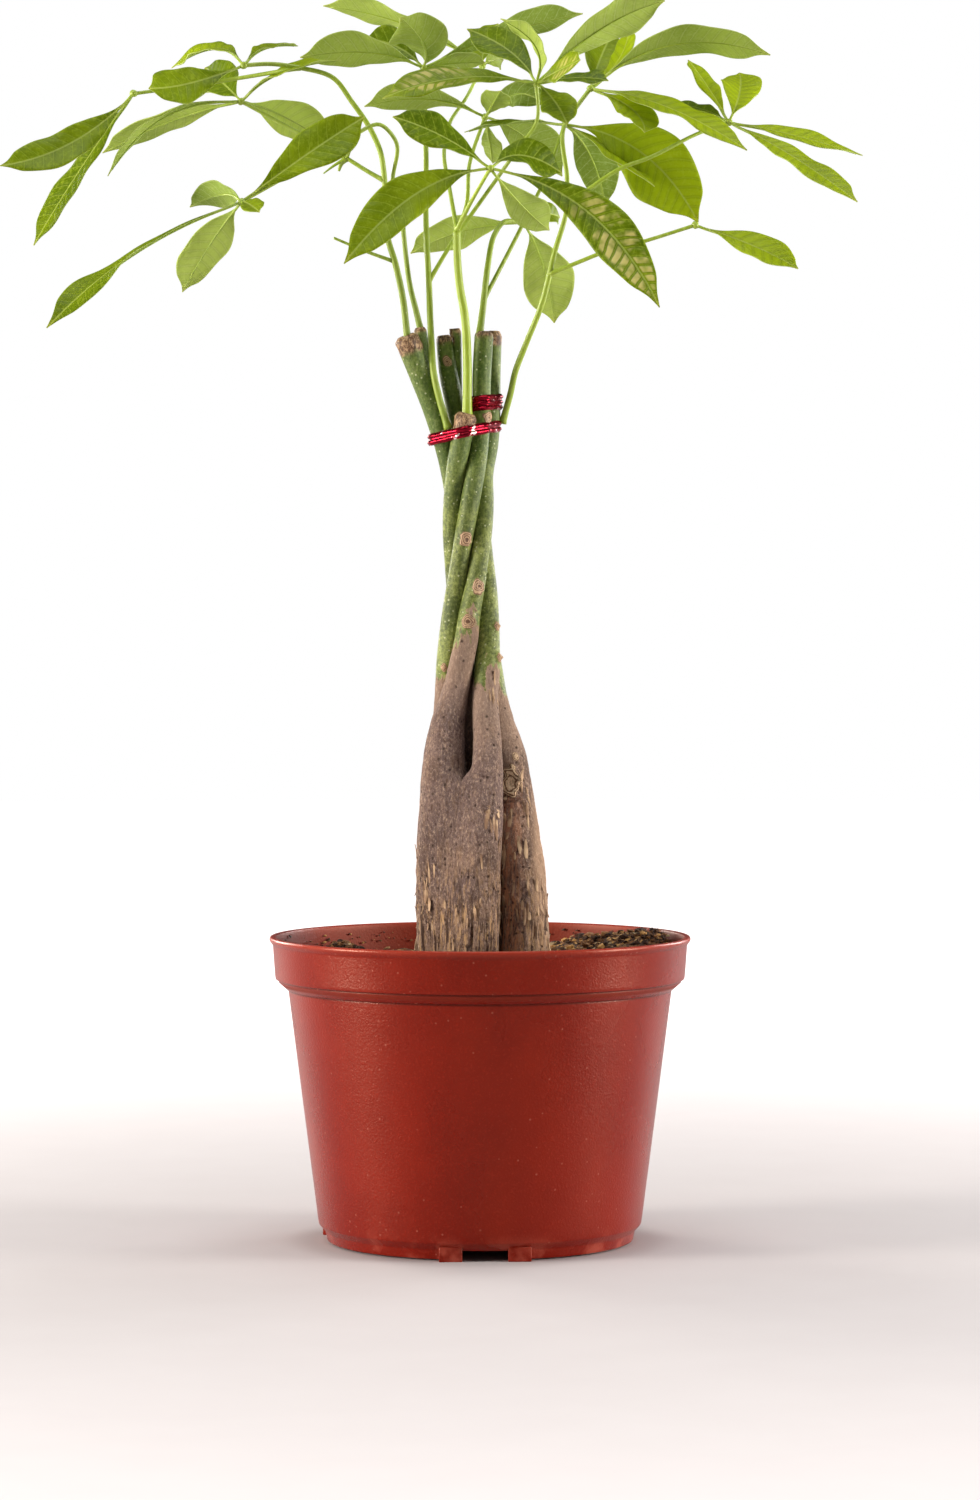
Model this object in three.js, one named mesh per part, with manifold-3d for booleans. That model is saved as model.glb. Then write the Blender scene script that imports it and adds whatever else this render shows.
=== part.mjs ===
// A potted money tree: five stems plaited into one trunk, six leafy shoots, two foil ties, soil and a pot.
// Millimetres, +Z up. The origin is on the surface that the pot stands on, under the pot's axis.
import * as THREE from 'three';
import { mergeVertices } from 'three/addons/utils/BufferGeometryUtils.js';
import Module from 'manifold-3d';

const wasm = await Module();
wasm.setup();

// ---------------------------------------------------------------- driving dimensions
const GAP = 0.3;
const VIEWER = new THREE.Vector3(3.9, -1771, 249);

const POT = {
  sides: 32,
  lipTop: 119.5,
  lipRadius: 82.5,
  collarTopRadius: 81.2,
  collarFootRadius: 80.1,
  collarFoot: 103,
  bodyTop: 98.5,
  bodyTopRadius: 75.1,
  bodyFoot: 8.5,
  bodyFootRadius: 63.6,
  footHeight: 4.2,
  footRadius: 60.4,
  wall: 1.4,
  floor: 5.6,
  padRadius: 14,
};
// Openings in the foot, with a block at each side of them.
const NOTCH = { count: 3, turn: 2, width: 17.5, height: 4.2, cutDepth: 12 };
const BLOCK = { width: 8.8, height: 5.6, depth: 6, proud: 0.9 };
const DRAIN = { count: 4, radius: 4.5, ring: 40 };

const SOIL = { level: 108, rings: [22, 38, 50, 60, 70] };
const MOUND = { x: 66, y: 25, reach: 15, rise: 10.5 };
const BANK = { x: 44, y: 48, reach: 13, rise: 6.5 };
const CLUMP = { x: -55, y: 34, reach: 6, rise: 6 };

const HOLE_FLOOR = 78;
const SOIL_LINE = 114;
const TRUNK = { sides: 10, step: 11, gathered: 165, plaitTop: 300 };
const FORK_SIDES = 8;

// Height, then how far the plait has turned there, in degrees.
const TURN = [[114, 0], [145, 7], [212, 44], [247, 79], [284, 151], [323, 223]];
// Height, then the distance of each stem's centre from the plait's own axis.
const PLAIT = [[147, 16.3], [188, 13.7], [214, 9.3], [242, 7.5], [263, 6.2], [277, 6.5], [300, 6.8]];
// Height, then how far the plait's axis leans to the side.
const LEAN = [[114, 0.6], [147, 0], [179, -1.8], [196, -3.2], [212, -3.8], [249, -3.7], [300, -5.2]];

// bearing: where the stem stands round the plait, in degrees; reach: its distance out at the soil; lag:
// height, then degrees that it turns less than the plait; girth: height, radius; top: the free end above
// the plait as x, y, z, radius; fork: a second cut end.
const STEMS = {
  trunk_front_left: {
    bearing: -169, reach: 15.8, lag: [[147, 0], [188, 10], [202, 14], [215, 7], [235, 0]],
    girth: [[78, 9.3], [114, 9.9], [147, 9.7], [188, 8.5], [214, 5.2], [242, 4.1], [263, 3.3], [300, 3.5]],
    top: [[3.4, 3.4, 312, 3.4], [4.4, 4.0, 323, 3.2], [4.8, 4.2, 340, 3.0], [5.4, 4.4, 355.8, 2.9]],
  },
  trunk_front: {
    bearing: -97, reach: 16.4,
    girth: [[78, 8.2], [114, 8.7], [147, 7.8], [188, 5.9], [214, 5.0], [242, 4.1], [263, 3.3], [300, 3.5]],
    top: [[-7.0, 6.5, 312, 3.5], [-9.0, 6.0, 323, 3.4], [-12.6, 4.5, 341, 3.4], [-14.2, 4.0, 354.2, 2.8]],
    fork: [[-8.0, 6.2, 316, 1.3], [-8.8, 6.0, 332, 1.6], [-9.2, 5.6, 357, 1.6]],
  },
  trunk_right: {
    bearing: -25, reach: 18.4,
    girth: [[78, 9.0], [114, 9.6], [147, 9.2], [188, 7.5], [214, 5.1], [242, 4.1], [263, 3.3], [300, 3.5]],
    top: [[-14, 0.5, 312, 3.7], [-18.5, -2, 326, 3.9], [-24, -4, 341, 4.3], [-28.9, -6, 353.4, 4.5]],
    fork: [[-15, 0.2, 315, 1.8], [-20.2, 1.6, 334, 2.2], [-23.5, 1.8, 357, 2.2]],
  },
  trunk_back_right: {
    bearing: 50, reach: 17,
    girth: [[78, 8.2], [114, 8.7], [147, 8.4], [188, 7.0], [214, 5.0], [242, 4.1], [263, 3.3], [300, 3.5]],
    top: [[-7.5, -7.0, 312, 3.7], [-5.1, -7.7, 323.3, 4.1]],
  },
  trunk_back_left: {
    bearing: 119, reach: 17, lag: [[147, 0], [188, 7], [202, 8], [215, 4], [235, 0]],
    girth: [[78, 8.2], [114, 8.7], [147, 8.4], [188, 6.4], [214, 4.8], [242, 4.1], [263, 3.3], [300, 3.5]],
    top: [[-0.3, -3.0, 312, 3.4], [0.4, -1.8, 323, 3.3], [0.6, -1.6, 338, 3.3], [1.6, -1.4, 355.4, 3.3]],
  },
};

const TIE_LOWER = { height: 316.3, tilt: 0.2, tall: 4, thick: 1, clear: 0.5, sides: 28 };
const TIE_UPPER = { height: 327.8, tilt: 0.1, tall: 6, thick: 1.1, clear: 0.45, sides: 20 };

// A leaflet's outline: distance along it, then its share of the full width.
const OUTLINE = [[0, 0.08], [0.14, 0.17], [0.38, 0.76], [0.62, 1], [0.86, 0.62], [1, 0.05]];
const BLADE = { edge: 0.64, middle: 0.95, fold: 0.13, wave: 0.035, waves: 9, stalk: 0.9, lateTwist: 3 };
const HUB_RADIUS = 1.7;
const SHOOT_STEM = { sides: 6, step: 13 };
const TWIG = { sides: 4, step: 8 };
const STALK = { sides: 4, step: 14, thick: [0.85, 0.7] };

// The shoots' points are x, y, z, with x and z as they look from the front, in the plait's plane, and y
// the depth behind it. A leaf has its stalk's route, which ends in the hub, and its leaflets: the middle
// and tip of each midrib, the full width, the turn from facing the front (+ turns the upper face up) and,
// where the blade twists, the turn at its tip.
const SHOOTS = {
  shoot_left: {
    stem: [
      [-28.5, -6, 354.7], [-30, -6, 368], [-33, -7, 382], [-36, -7, 392], [-37, -7, 412], [-39, -7, 426],
      [-42, -7, 433], [-50, -8, 445], [-57, -10, 454], [-70, -11, 458], [-81, -12, 459.5], [-92, -15, 459],
    ],
    thick: [1.35, 0.8],
    twigs: [
      { route: [[-34, -7, 383], [-45, -9, 387], [-57, -12, 392]], thick: [0.75, 0.6] },
      { route: [[-52, -5, 423], [-57, -5, 420], [-61, -6, 417]], thick: [0.8, 0.6] },
      { route: [[-52, -5, 423], [-50, -7, 428], [-49, -8, 432]], thick: [0.8, 0.6] },
      { route: [[-52, -5, 423], [-54, -3, 421], [-55, -2, 418]], thick: [1.4, 0.8] },
    ],
    leaves: [
      {
        stalk: [[-92, -15, 459]],
        leaflets: [
          [[-113, -28, 452], [-129, -47, 450], 16, 15],
          [[-103, -2, 465.5], [-120, 18, 458], 14, 66],
          [[-84, -6, 465.5], [-71, 8, 466.5], 12, 72],
        ],
      },
      {
        stalk: [[-37, -7, 414], [-44, -6, 418], [-52, -5, 423], [-71, -1, 433], [-82, 2, 439], [-93, 5, 445]],
        leaflets: [
          [[-100, 24, 452], [-107, 48, 458], 17, 0],
          [[-119, 16, 438], [-147, 28, 425], 14, 125],
          [[-123, -6, 439], [-145, -12, 416], 12, 95],
          [[-76, 20, 439], [-57, 38, 427], 16, 160],
          [[-78, -6, 456], [-54, -16, 461], 14, 75],
        ],
      },
      {
        stalk: [[-70, -11, 458], [-94, -2, 454], [-113, -3, 451], [-135, -10, 448]],
        leaflets: [
          [[-159, -21, 429], [-187, -38, 420], 15, 20],
          [[-156, -8, 418], [-174, -8, 389], 15, 50],
        ],
      },
    ],
  },
  shoot_back_left: {
    stem: [[-23.5, 1.8, 357.7], [-25, 1, 364], [-27, 0, 372], [-29, -1, 386], [-30, -2, 396]],
    thick: [1.25, 0.9],
    twigs: [],
    leaves: [
      {
        stalk: [
          [-30, -2, 396], [-34, -3, 413], [-33, -11, 430], [-39, -15, 436], [-49, -18, 432], [-70, -25, 419],
          [-93, -30, 406],
        ],
        leaflets: [
          [[-68, -27, 424], [-45, -21, 439], 19, 20],
          [[-105, -16, 390], [-116, 0, 371], 17, 150],
          [[-100, -10, 409], [-113, 12, 404], 14, 130],
          [[-133, -45, 387], [-169, -62, 357], 16, 84, 15],
          [[-90, -44, 405], [-86, -58, 402], 9, 30],
        ],
      },
    ],
  },
  shoot_back: {
    stem: [
      [-13.2, -7, 320.6], [-16, -7.6, 330], [-18, -7.4, 339], [-19, -5.5, 352], [-20, -3, 376], [-21, 0, 396],
      [-21, 8, 422], [-22, 25, 458],
    ],
    thick: [1.45, 0.9],
    twigs: [],
    leaves: [
      {
        stalk: [[-22, 25, 458]],
        leaflets: [
          [[-32, 30, 466], [-45, 36, 469], 14, 20],
          [[-22, 10, 467], [-31, -4, 477.5], 22, 158],
          [[-43, 20, 464], [-70, 18, 462], 16, 140],
          [[8, 30, 471], [40, 34, 479], 16, 122],
          [[-10, 30, 460], [2, 34, 460], 12, 120],
        ],
      },
      {
        stalk: [
          [-20, -3, 375], [-11, -2, 390], [-9, -2, 393], [8, -5, 417], [15, -11, 427], [22, -14, 437],
          [22, -15, 452],
        ],
        leaflets: [
          [[-8, -28, 454], [-38, -37, 446], 17, 50],
          [[12, -4, 464], [-5, 8, 473], 15, 30],
          [[22, -26, 466], [8, -32, 477], 13, 108],
          [[31, -34, 457], [39, -54, 461], 14, 40],
          [[37, -23, 454], [50, -27, 453], 12, 60],
          [[29, -30, 445], [34, -44, 436], 14, 20],
          [[47, -13, 473], [72, -12, 484], 17, 145],
        ],
      },
    ],
  },
  shoot_middle: {
    stem: [[-5, -7.7, 324.7], [-5, -7.7, 346], [-6, -8, 362], [-8, -9, 374], [-9, -11, 390], [-9, -12, 395]],
    thick: [1.85, 1.4],
    twigs: [],
    leaves: [
      {
        stalk: [[-9, -12, 395], [-4, -26, 405], [4, -45, 419]],
        leaflets: [
          [[-14, -49, 431], [-34, -54, 439], 17, 40],
          [[-25, -58, 409], [-53, -74, 382], 18, 10],
          [[16, -35, 424], [32, -24, 417], 15, 35],
          [[42, -58, 402], [70, -77, 365], 18, 10],
          [[16, -36, 405], [27, -24, 395], 14, 165],
        ],
      },
      {
        stalk: [[-9, -12, 395], [-6, -10, 402], [-4, 0, 421], [2, 10, 439]],
        leaflets: [
          [[-20, 3, 446], [-45, 2, 443], 15, 125],
          [[14, 22, 448], [26, 32, 443], 14, 140],
          [[5, 1, 444], [8, -8, 449], 12, 160],
          [[4, 22, 429], [5, 34, 421], 10, 140],
          [[18, 26, 431], [32, 43, 416], 17, 165],
        ],
      },
      {
        stalk: [[-9, -12, 395], [-12, -4, 412], [-14, 8, 424], [-12, 22, 436], [-5, 38, 447], [1, 52, 459]],
        leaflets: [
          [[-29, 55, 475], [-61, 60, 482], 17, 112],
          [[2, 64, 466], [7, 84, 475], 15, 20],
          [[5, 44, 461], [9, 32, 461], 8, 150],
        ],
      },
    ],
  },
  shoot_back_right: {
    stem: [[0, -1.4, 355.9], [1.5, 0, 368], [3, 2, 381], [6, 8, 394], [9, 12, 398], [17, 20, 398]],
    thick: [1.5, 0.85],
    twigs: [],
    leaves: [
      {
        stalk: [[17, 20, 398]],
        leaflets: [
          [[-6, 28, 395], [-27, 40, 386], 15, 145],
          [[25, 36, 380], [29, 56, 359], 21, 170],
          [[25, 36, 401], [31, 50, 400], 10, 20],
        ],
      },
      {
        stalk: [[1.5, 0, 368], [16, 8, 396], [27, 12, 419], [33, 15, 436]],
        leaflets: [
          [[63, 4, 425], [85, -2, 398], 27, 5],
          [[49, 8, 427], [68, -4, 412], 12, 60],
          [[43, 30, 424], [49, 46, 404], 16, 165],
          [[14, -3, 437], [-6, -11, 433], 12, 80],
        ],
      },
    ],
  },
  shoot_right: {
    stem: [
      [9.5, 3.4, 322.8], [12, 1, 332], [13.5, -1, 339], [18, -4, 351], [24, -8, 366], [29, -10, 386],
      [34, -10, 405], [34, -9, 414], [33, -3, 436], [37, 1, 442], [43, 5, 450],
    ],
    thick: [1.3, 0.8],
    twigs: [],
    leaves: [
      {
        stalk: [[43, 5, 450]],
        leaflets: [
          [[72, -10, 443], [104, -24, 426], 16, 55],
          [[59, -5, 442], [64, -16, 433], 14, 30],
          [[47, 18, 462], [52, 38, 472], 18, 0],
          [[54, 9, 461], [58, 14, 473], 13, 60],
          [[75, 2, 467], [113, -8, 463], 17, 130],
        ],
      },
      {
        stalk: [[34, -10, 405], [41, -12, 410], [57, -15, 420], [63, -16, 422], [86, -9, 433], [97, -5, 437]],
        leaflets: [
          [[86, 6, 442], [74, 18, 444], 13, 65],
          [[89, 6, 450], [81, 16, 461], 14, 55],
          [[101, 22, 448], [101, 48, 456], 16, 0],
          [[121, -4, 432], [149, -6, 424], 14, 65],
          [[121, -28, 424], [147, -52, 406], 15, 50],
        ],
      },
      {
        stalk: [[27, -9.5, 378], [37, -12, 382], [47, -14, 386], [65, -16, 391], [84, -18, 397]],
        leaflets: [
          [[106, -26, 389], [124, -36, 380], 16, 45],
        ],
      },
    ],
  },
};

// ---------------------------------------------------------------- finishes
const finish = (color, roughness, metalness = 0) =>
  new THREE.MeshStandardMaterial({ color, roughness, metalness });
const FINISHES = {
  pot: finish('#a03223', 0.42),
  soil: finish('#3b2a1e', 0.95),
  trunk: finish('#8a7a5c', 0.85),
  tie: finish('#960a23', 0.3, 0.6),
  shoot: finish('#7da02a', 0.5),
};

// ---------------------------------------------------------------- helpers
const radians = THREE.MathUtils.degToRad;

// The value of a height table at z, eased from row to row.
function at(table, z) {
  if (z <= table[0][0]) return table[0][1];
  for (let i = 1; i < table.length; i += 1) {
    const [z0, v0] = table[i - 1];
    const [z1, v1] = table[i];
    if (z <= z1) return v0 + ((v1 - v0) * (z - z0)) / (z1 - z0);
  }
  return table[table.length - 1][1];
}

// Moves a point seen in the plait's plane to its depth y along the line of sight.
function seen([x, y, z]) {
  const share = (y - VIEWER.y) / -VIEWER.y;
  const flat = new THREE.Vector3(x, 0, z);
  return flat.sub(VIEWER).multiplyScalar(share).add(VIEWER);
}

// A closed skin over rings of points; alike(j) swaps the diagonal of the j-th side.
function loft(rings, alike = () => false) {
  const sides = rings[0].length;
  const index = [];
  for (let i = 0; i + 1 < rings.length; i += 1) {
    for (let j = 0; j < sides; j += 1) {
      const k = (j + 1) % sides;
      const [a, b, c, d] = [i * sides + j, i * sides + k, (i + 1) * sides + k, (i + 1) * sides + j];
      index.push(...(alike(j) ? [a, b, d, b, c, d] : [a, b, c, a, c, d]));
    }
  }
  const last = (rings.length - 1) * sides;
  for (let j = 1; j + 1 < sides; j += 1) {
    index.push(0, j + 1, j);
    index.push(last, last + j, last + j + 1);
  }
  const points = rings.flat().flatMap((p) => p.toArray());
  const geometry = new THREE.BufferGeometry();
  geometry.setAttribute('position', new THREE.Float32BufferAttribute(points, 3));
  geometry.setIndex(index);
  return geometry;
}

// A three.js geometry as a solid that can be joined and cut.
function solid(geometry) {
  const bare = geometry.clone();
  bare.deleteAttribute('normal');
  bare.deleteAttribute('uv');
  const merged = mergeVertices(bare, 1e-4);
  return new wasm.Manifold(new wasm.Mesh({
    numProp: 3,
    vertProperties: new Float32Array(merged.attributes.position.array),
    triVerts: new Uint32Array(merged.index.array),
  }));
}

const join = (solids) => wasm.Manifold.union(solids);

// The largest body of a solid, so that no loose crumb is left after a cut.
function largest(body) {
  return body.decompose().sort((a, b) => b.volume() - a.volume())[0];
}

function geometryOf(body) {
  const mesh = body.getMesh();
  const geometry = new THREE.BufferGeometry();
  geometry.setAttribute('position', new THREE.BufferAttribute(new Float32Array(mesh.vertProperties), 3));
  geometry.setIndex(new THREE.BufferAttribute(new Uint32Array(mesh.triVerts), 1));
  geometry.computeVertexNormals();
  return geometry;
}

// Rings of a round stem whose centres and radii are given.
function roundRings(centres, radii, sides) {
  const rings = [];
  let out = new THREE.Vector3(1, 0, 0);
  centres.forEach((centre, i) => {
    const before = centres[Math.max(i - 1, 0)];
    const after = centres[Math.min(i + 1, centres.length - 1)];
    const along = new THREE.Vector3().subVectors(after, before).normalize();
    out = out.clone().addScaledVector(along, -out.dot(along)).normalize();
    const over = new THREE.Vector3().crossVectors(along, out);
    rings.push(Array.from({ length: sides }, (_, j) => {
      const turn = (2 * Math.PI * j) / sides;
      return centre.clone()
        .addScaledVector(out, radii[i] * Math.cos(turn))
        .addScaledVector(over, radii[i] * Math.sin(turn));
    }));
  });
  return rings;
}

// A round stalk along a smooth route, thinning from one radius to the other.
function rod(route, [from, to], { sides, step }) {
  const curve = new THREE.CatmullRomCurve3(route, false, 'centripetal');
  const count = Math.max(3, Math.round(curve.getLength() / step));
  const centres = curve.getSpacedPoints(count);
  const radii = centres.map((_, i) => from + ((to - from) * i) / count);
  return solid(loft(roundRings(centres, radii, sides)));
}

// One leaflet: a thin blade with a folded midrib and waved edges, along an arched midrib.
function leaflet(hub, [middle, tip, width, turn, tipTurn = turn], serial) {
  const [p0, pm, p2] = [hub, seen(middle), seen(tip)];
  const p1 = pm.clone().multiplyScalar(2).addScaledVector(p0, -0.5).addScaledVector(p2, -0.5);
  const midrib = new THREE.QuadraticBezierCurve3(p0, p1, p2);
  const front = new THREE.Vector3(0, -1, 0);
  const chord = new THREE.Vector3().subVectors(p2, p0);
  const upward = new THREE.Vector3().crossVectors(chord, front).z < 0 ? -1 : 1;
  const rings = OUTLINE.map(([along, share]) => {
    const centre = midrib.getPoint(along);
    const heading = midrib.getTangent(along);
    const facing = front.clone().addScaledVector(heading, -front.dot(heading)).normalize();
    const rising = new THREE.Vector3().crossVectors(heading, facing).multiplyScalar(upward);
    const angle = radians(turn + (tipTurn - turn) * along ** BLADE.lateTwist);
    const normal = facing.multiplyScalar(Math.cos(angle)).addScaledVector(rising, Math.sin(angle));
    const side = new THREE.Vector3().crossVectors(normal, heading);
    const half = (width * share) / 2;
    const wave = BLADE.wave * width * share * Math.sin(BLADE.waves * along + serial);
    const lift = BLADE.fold * half;
    const point = (across, up) => centre.clone().addScaledVector(side, across).addScaledVector(normal, up);
    const edge = along === 0 ? BLADE.stalk : BLADE.edge;
    const reach = Math.max(half, BLADE.stalk / 2);
    return [
      point(-reach, lift + wave + edge / 2),
      point(-reach, lift + wave - edge / 2),
      point(0, -BLADE.middle / 2),
      point(reach, lift - wave - edge / 2),
      point(reach, lift - wave + edge / 2),
      point(0, BLADE.middle / 2),
    ];
  });
  return solid(loft(rings, (j) => j === 1 || j === 2));
}

// ---------------------------------------------------------------- pot
function pot() {
  const { wall } = POT;
  const outline = [
    [0, 0], [POT.padRadius, 0], [POT.padRadius + 2, POT.footHeight], [POT.footRadius - 3, POT.footHeight],
    [POT.footRadius - 2.4, 0], [POT.footRadius - 0.4, 0], [POT.footRadius, POT.footHeight],
    [POT.bodyFootRadius - 0.6, POT.footHeight + 2], [POT.bodyFootRadius, POT.bodyFoot],
    [POT.bodyTopRadius, POT.bodyTop], [POT.collarFootRadius - 1.9, POT.collarFoot - 2],
    [POT.collarFootRadius, POT.collarFoot], [POT.collarTopRadius, POT.lipTop - 2.5],
    [POT.lipRadius - 0.3, POT.lipTop - 1.9], [POT.lipRadius, POT.lipTop - 1.1],
    [POT.lipRadius - 0.8, POT.lipTop], [POT.lipRadius - 2.6, POT.lipTop],
    [POT.collarTopRadius - wall, POT.lipTop - 2.5], [POT.collarFootRadius - wall, POT.collarFoot - 0.6],
    [POT.bodyTopRadius - wall, POT.bodyTop - 0.6], [POT.bodyFootRadius - wall, POT.bodyFoot],
    [POT.bodyFootRadius - wall - 2, POT.floor], [POT.padRadius + 1.2, POT.floor],
    [POT.padRadius - 0.8, wall], [0, wall],
  ];
  const shell = new THREE.LatheGeometry(outline.map(([r, z]) => new THREE.Vector2(r, z)), POT.sides);
  shell.rotateX(Math.PI / 2);
  let body = solid(shell);
  const turns = Array.from({ length: NOTCH.count }, (_, i) => -90 + NOTCH.turn + (360 / NOTCH.count) * i);
  const placed = (geometry, turn, out, aside, up) => {
    geometry.translate(out, aside, up);
    geometry.rotateZ(radians(turn));
    return solid(geometry);
  };
  const blocks = turns.flatMap((turn) => [-1, 1].map((hand) => placed(
    new THREE.BoxGeometry(BLOCK.depth, BLOCK.width, BLOCK.height), turn,
    POT.footRadius + BLOCK.proud - BLOCK.depth / 2, hand * (NOTCH.width + BLOCK.width) / 2, BLOCK.height / 2,
  )));
  const notches = turns.map((turn) => placed(
    new THREE.BoxGeometry(NOTCH.cutDepth, NOTCH.width, 2 * NOTCH.height), turn, POT.footRadius, 0, 0,
  ));
  const drains = Array.from({ length: DRAIN.count }, (_, i) => {
    const hole = new THREE.CylinderGeometry(DRAIN.radius, DRAIN.radius, 12, 12);
    hole.rotateX(Math.PI / 2);
    return placed(hole, 45 + (360 / DRAIN.count) * i, DRAIN.ring, 0, POT.footHeight);
  });
  body = join([body, ...blocks]).subtract(join([...notches, ...drains]));
  return geometryOf(largest(body));
}

// ---------------------------------------------------------------- plaited stems
// The centre of a stem at a height inside the plait.
function plaitPoint(stem, z) {
  const angle = radians(stem.bearing + at(TURN, z) - (stem.lag ? at(stem.lag, z) : 0));
  const eased = THREE.MathUtils.smoothstep(z, SOIL_LINE, TRUNK.gathered);
  const reach = stem.reach + (at(PLAIT, z) - stem.reach) * eased;
  return new THREE.Vector3(at(LEAN, z) + reach * Math.cos(angle), reach * Math.sin(angle), z);
}

// Centres and radii of a stem from the bottom of its hole to its cut top.
function stemLine(stem) {
  const centres = [];
  const radii = [];
  const levels = Math.round((TRUNK.plaitTop - SOIL_LINE) / TRUNK.step);
  const foot = plaitPoint(stem, SOIL_LINE).setZ(HOLE_FLOOR);
  centres.push(foot);
  radii.push(at(stem.girth, HOLE_FLOOR));
  for (let i = 0; i <= levels; i += 1) {
    const z = SOIL_LINE + ((TRUNK.plaitTop - SOIL_LINE) * i) / levels;
    centres.push(plaitPoint(stem, z));
    radii.push(at(stem.girth, z));
  }
  stem.top.forEach(([x, y, z, r]) => {
    centres.push(new THREE.Vector3(x, y, z));
    radii.push(r);
  });
  return { centres, radii };
}

function stemSolid(stem, extra = 0) {
  const { centres, radii } = stemLine(stem);
  centres[0].z -= extra;
  const parts = [solid(loft(roundRings(centres, radii.map((r) => r + extra), TRUNK.sides)))];
  if (stem.fork) {
    const route = stem.fork.map(([x, y, z]) => new THREE.Vector3(x, y, z));
    parts.push(solid(loft(roundRings(route, stem.fork.map((p) => p[3]), FORK_SIDES))));
  }
  return join(parts);
}

// ---------------------------------------------------------------- soil
// Height of the soil at a place: a bank at the back right with a mound at its end, a clump, a ripple.
function soilTop(x, y) {
  const hill = ({ x: cx, y: cy, reach, rise }) =>
    rise * Math.exp(-((x - cx) ** 2 + (y - cy) ** 2) / (2 * reach ** 2));
  const ripple = 0.5 * Math.sin(x / 6.1) * Math.cos(y / 5.3) + 0.4 * Math.sin((x + y) / 4.2);
  return SOIL.level + hill(MOUND) + hill(BANK) + hill(CLUMP) + ripple;
}

function soil(stems) {
  const clear = POT.wall + GAP;
  const wallAt = (z) => (z < POT.bodyTop
    ? POT.bodyFootRadius + ((POT.bodyTopRadius - POT.bodyFootRadius) * (z - POT.bodyFoot))
      / (POT.bodyTop - POT.bodyFoot)
    : POT.bodyTopRadius) - clear;
  const round = (radius, height) => Array.from({ length: POT.sides }, (_, j) => {
    const turn = (2 * Math.PI * j) / POT.sides;
    const [x, y] = [radius * Math.cos(turn), radius * Math.sin(turn)];
    return new THREE.Vector3(x, y, height ?? soilTop(x, y));
  });
  const collar = POT.collarFootRadius - clear - 0.4;
  const rings = [
    round(2, POT.wall + GAP), round(POT.padRadius - 1.2, POT.wall + GAP),
    round(POT.padRadius + 0.8, POT.floor + GAP), round(POT.bodyFootRadius - clear - 2.2, POT.floor + GAP),
    round(wallAt(POT.bodyFoot), POT.bodyFoot + 0.3), round(wallAt(POT.bodyTop), POT.bodyTop - 0.4),
    round(collar, POT.collarFoot), round(collar + 0.3),
    ...SOIL.rings.slice().reverse().map((radius) => round(radius)), round(3),
  ];
  const feet = stems.map((stem) => stemSolid(stem, GAP));
  return geometryOf(largest(solid(loft(rings)).subtract(join(feet))));
}

// ---------------------------------------------------------------- ties
// A band pulled round some stems: it bears on the outermost stem in each direction.
function tie(stems, { height, tilt, tall, thick, clear, sides }, grooved) {
  const discs = stems.map((stem) => {
    const { centres, radii } = stemLine(stem);
    const i = centres.findIndex((centre) => centre.z >= height);
    const share = (height - centres[i - 1].z) / (centres[i].z - centres[i - 1].z);
    const centre = centres[i - 1].clone().lerp(centres[i], share);
    return { centre, radius: Math.max(radii[i - 1], radii[i]) };
  });
  const middle = discs.reduce((sum, disc) => sum + disc.centre.x, 0) / discs.length;
  const profile = grooved
    ? [[0, -0.5], [0.6, -0.5], [1, -0.25], [0.6, 0], [1, 0.25], [0.6, 0.5], [0, 0.5]]
    : [[0, -0.5], [0.7, -0.5], [1, -0.25], [0.8, 0], [1, 0.25], [0.7, 0.5], [0, 0.5]];
  const rings = Array.from({ length: sides }, (_, j) => {
    const turn = (2 * Math.PI * j) / sides;
    const out = new THREE.Vector3(Math.cos(turn), Math.sin(turn), 0);
    const reach = (disc) => disc.centre.dot(out) + disc.radius;
    const outermost = discs.reduce((a, b) => (reach(b) > reach(a) ? b : a));
    const bearing = outermost.centre.clone().addScaledVector(out, outermost.radius + clear);
    return profile.map(([proud, up]) => {
      const p = bearing.clone().addScaledVector(out, proud * thick);
      p.z = height + up * tall + tilt * (p.x - middle);
      return p;
    });
  });
  const geometry = loft([...rings, rings[0]].reverse());
  const skin = 2 * 3 * profile.length * sides;
  geometry.setIndex(Array.from(geometry.index.array).slice(0, skin));
  return geometryOf(solid(geometry));
}

// ---------------------------------------------------------------- shoots
function shoot({ stem, thick, twigs, leaves }, serial) {
  const parts = [rod(stem.map(seen), thick, SHOOT_STEM)];
  twigs.forEach((twig) => parts.push(rod(twig.route.map(seen), twig.thick, TWIG)));
  leaves.forEach((leaf, i) => {
    const route = leaf.stalk.map(seen);
    const hub = route[route.length - 1];
    if (route.length > 1) parts.push(rod(route, STALK.thick, STALK));
    const knob = new THREE.SphereGeometry(HUB_RADIUS, 6, 4);
    knob.translate(hub.x, hub.y, hub.z);
    parts.push(solid(knob));
    leaf.leaflets.forEach((row, j) => parts.push(leaflet(hub, row, serial + 2 * i + 2.3 * j)));
  });
  return geometryOf(largest(join(parts)));
}

// ---------------------------------------------------------------- assembly
const tree = new THREE.Group();

function place(name, geometry, material) {
  const mesh = new THREE.Mesh(geometry, material);
  mesh.name = name;
  tree.add(mesh);
}

place('pot', pot(), FINISHES.pot);
place('soil', soil(Object.values(STEMS)), FINISHES.soil);
Object.entries(STEMS).forEach(([name, stem]) => place(name, geometryOf(stemSolid(stem)), FINISHES.trunk));
place('tie_lower', tie(Object.values(STEMS), TIE_LOWER, false), FINISHES.tie);
const upperPair = [STEMS.trunk_front_left, STEMS.trunk_back_left];
place('tie_upper', tie(upperPair, TIE_UPPER, true), FINISHES.tie);
Object.entries(SHOOTS).forEach(([name, parts], i) => place(name, shoot(parts, i), FINISHES.shoot));

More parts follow.
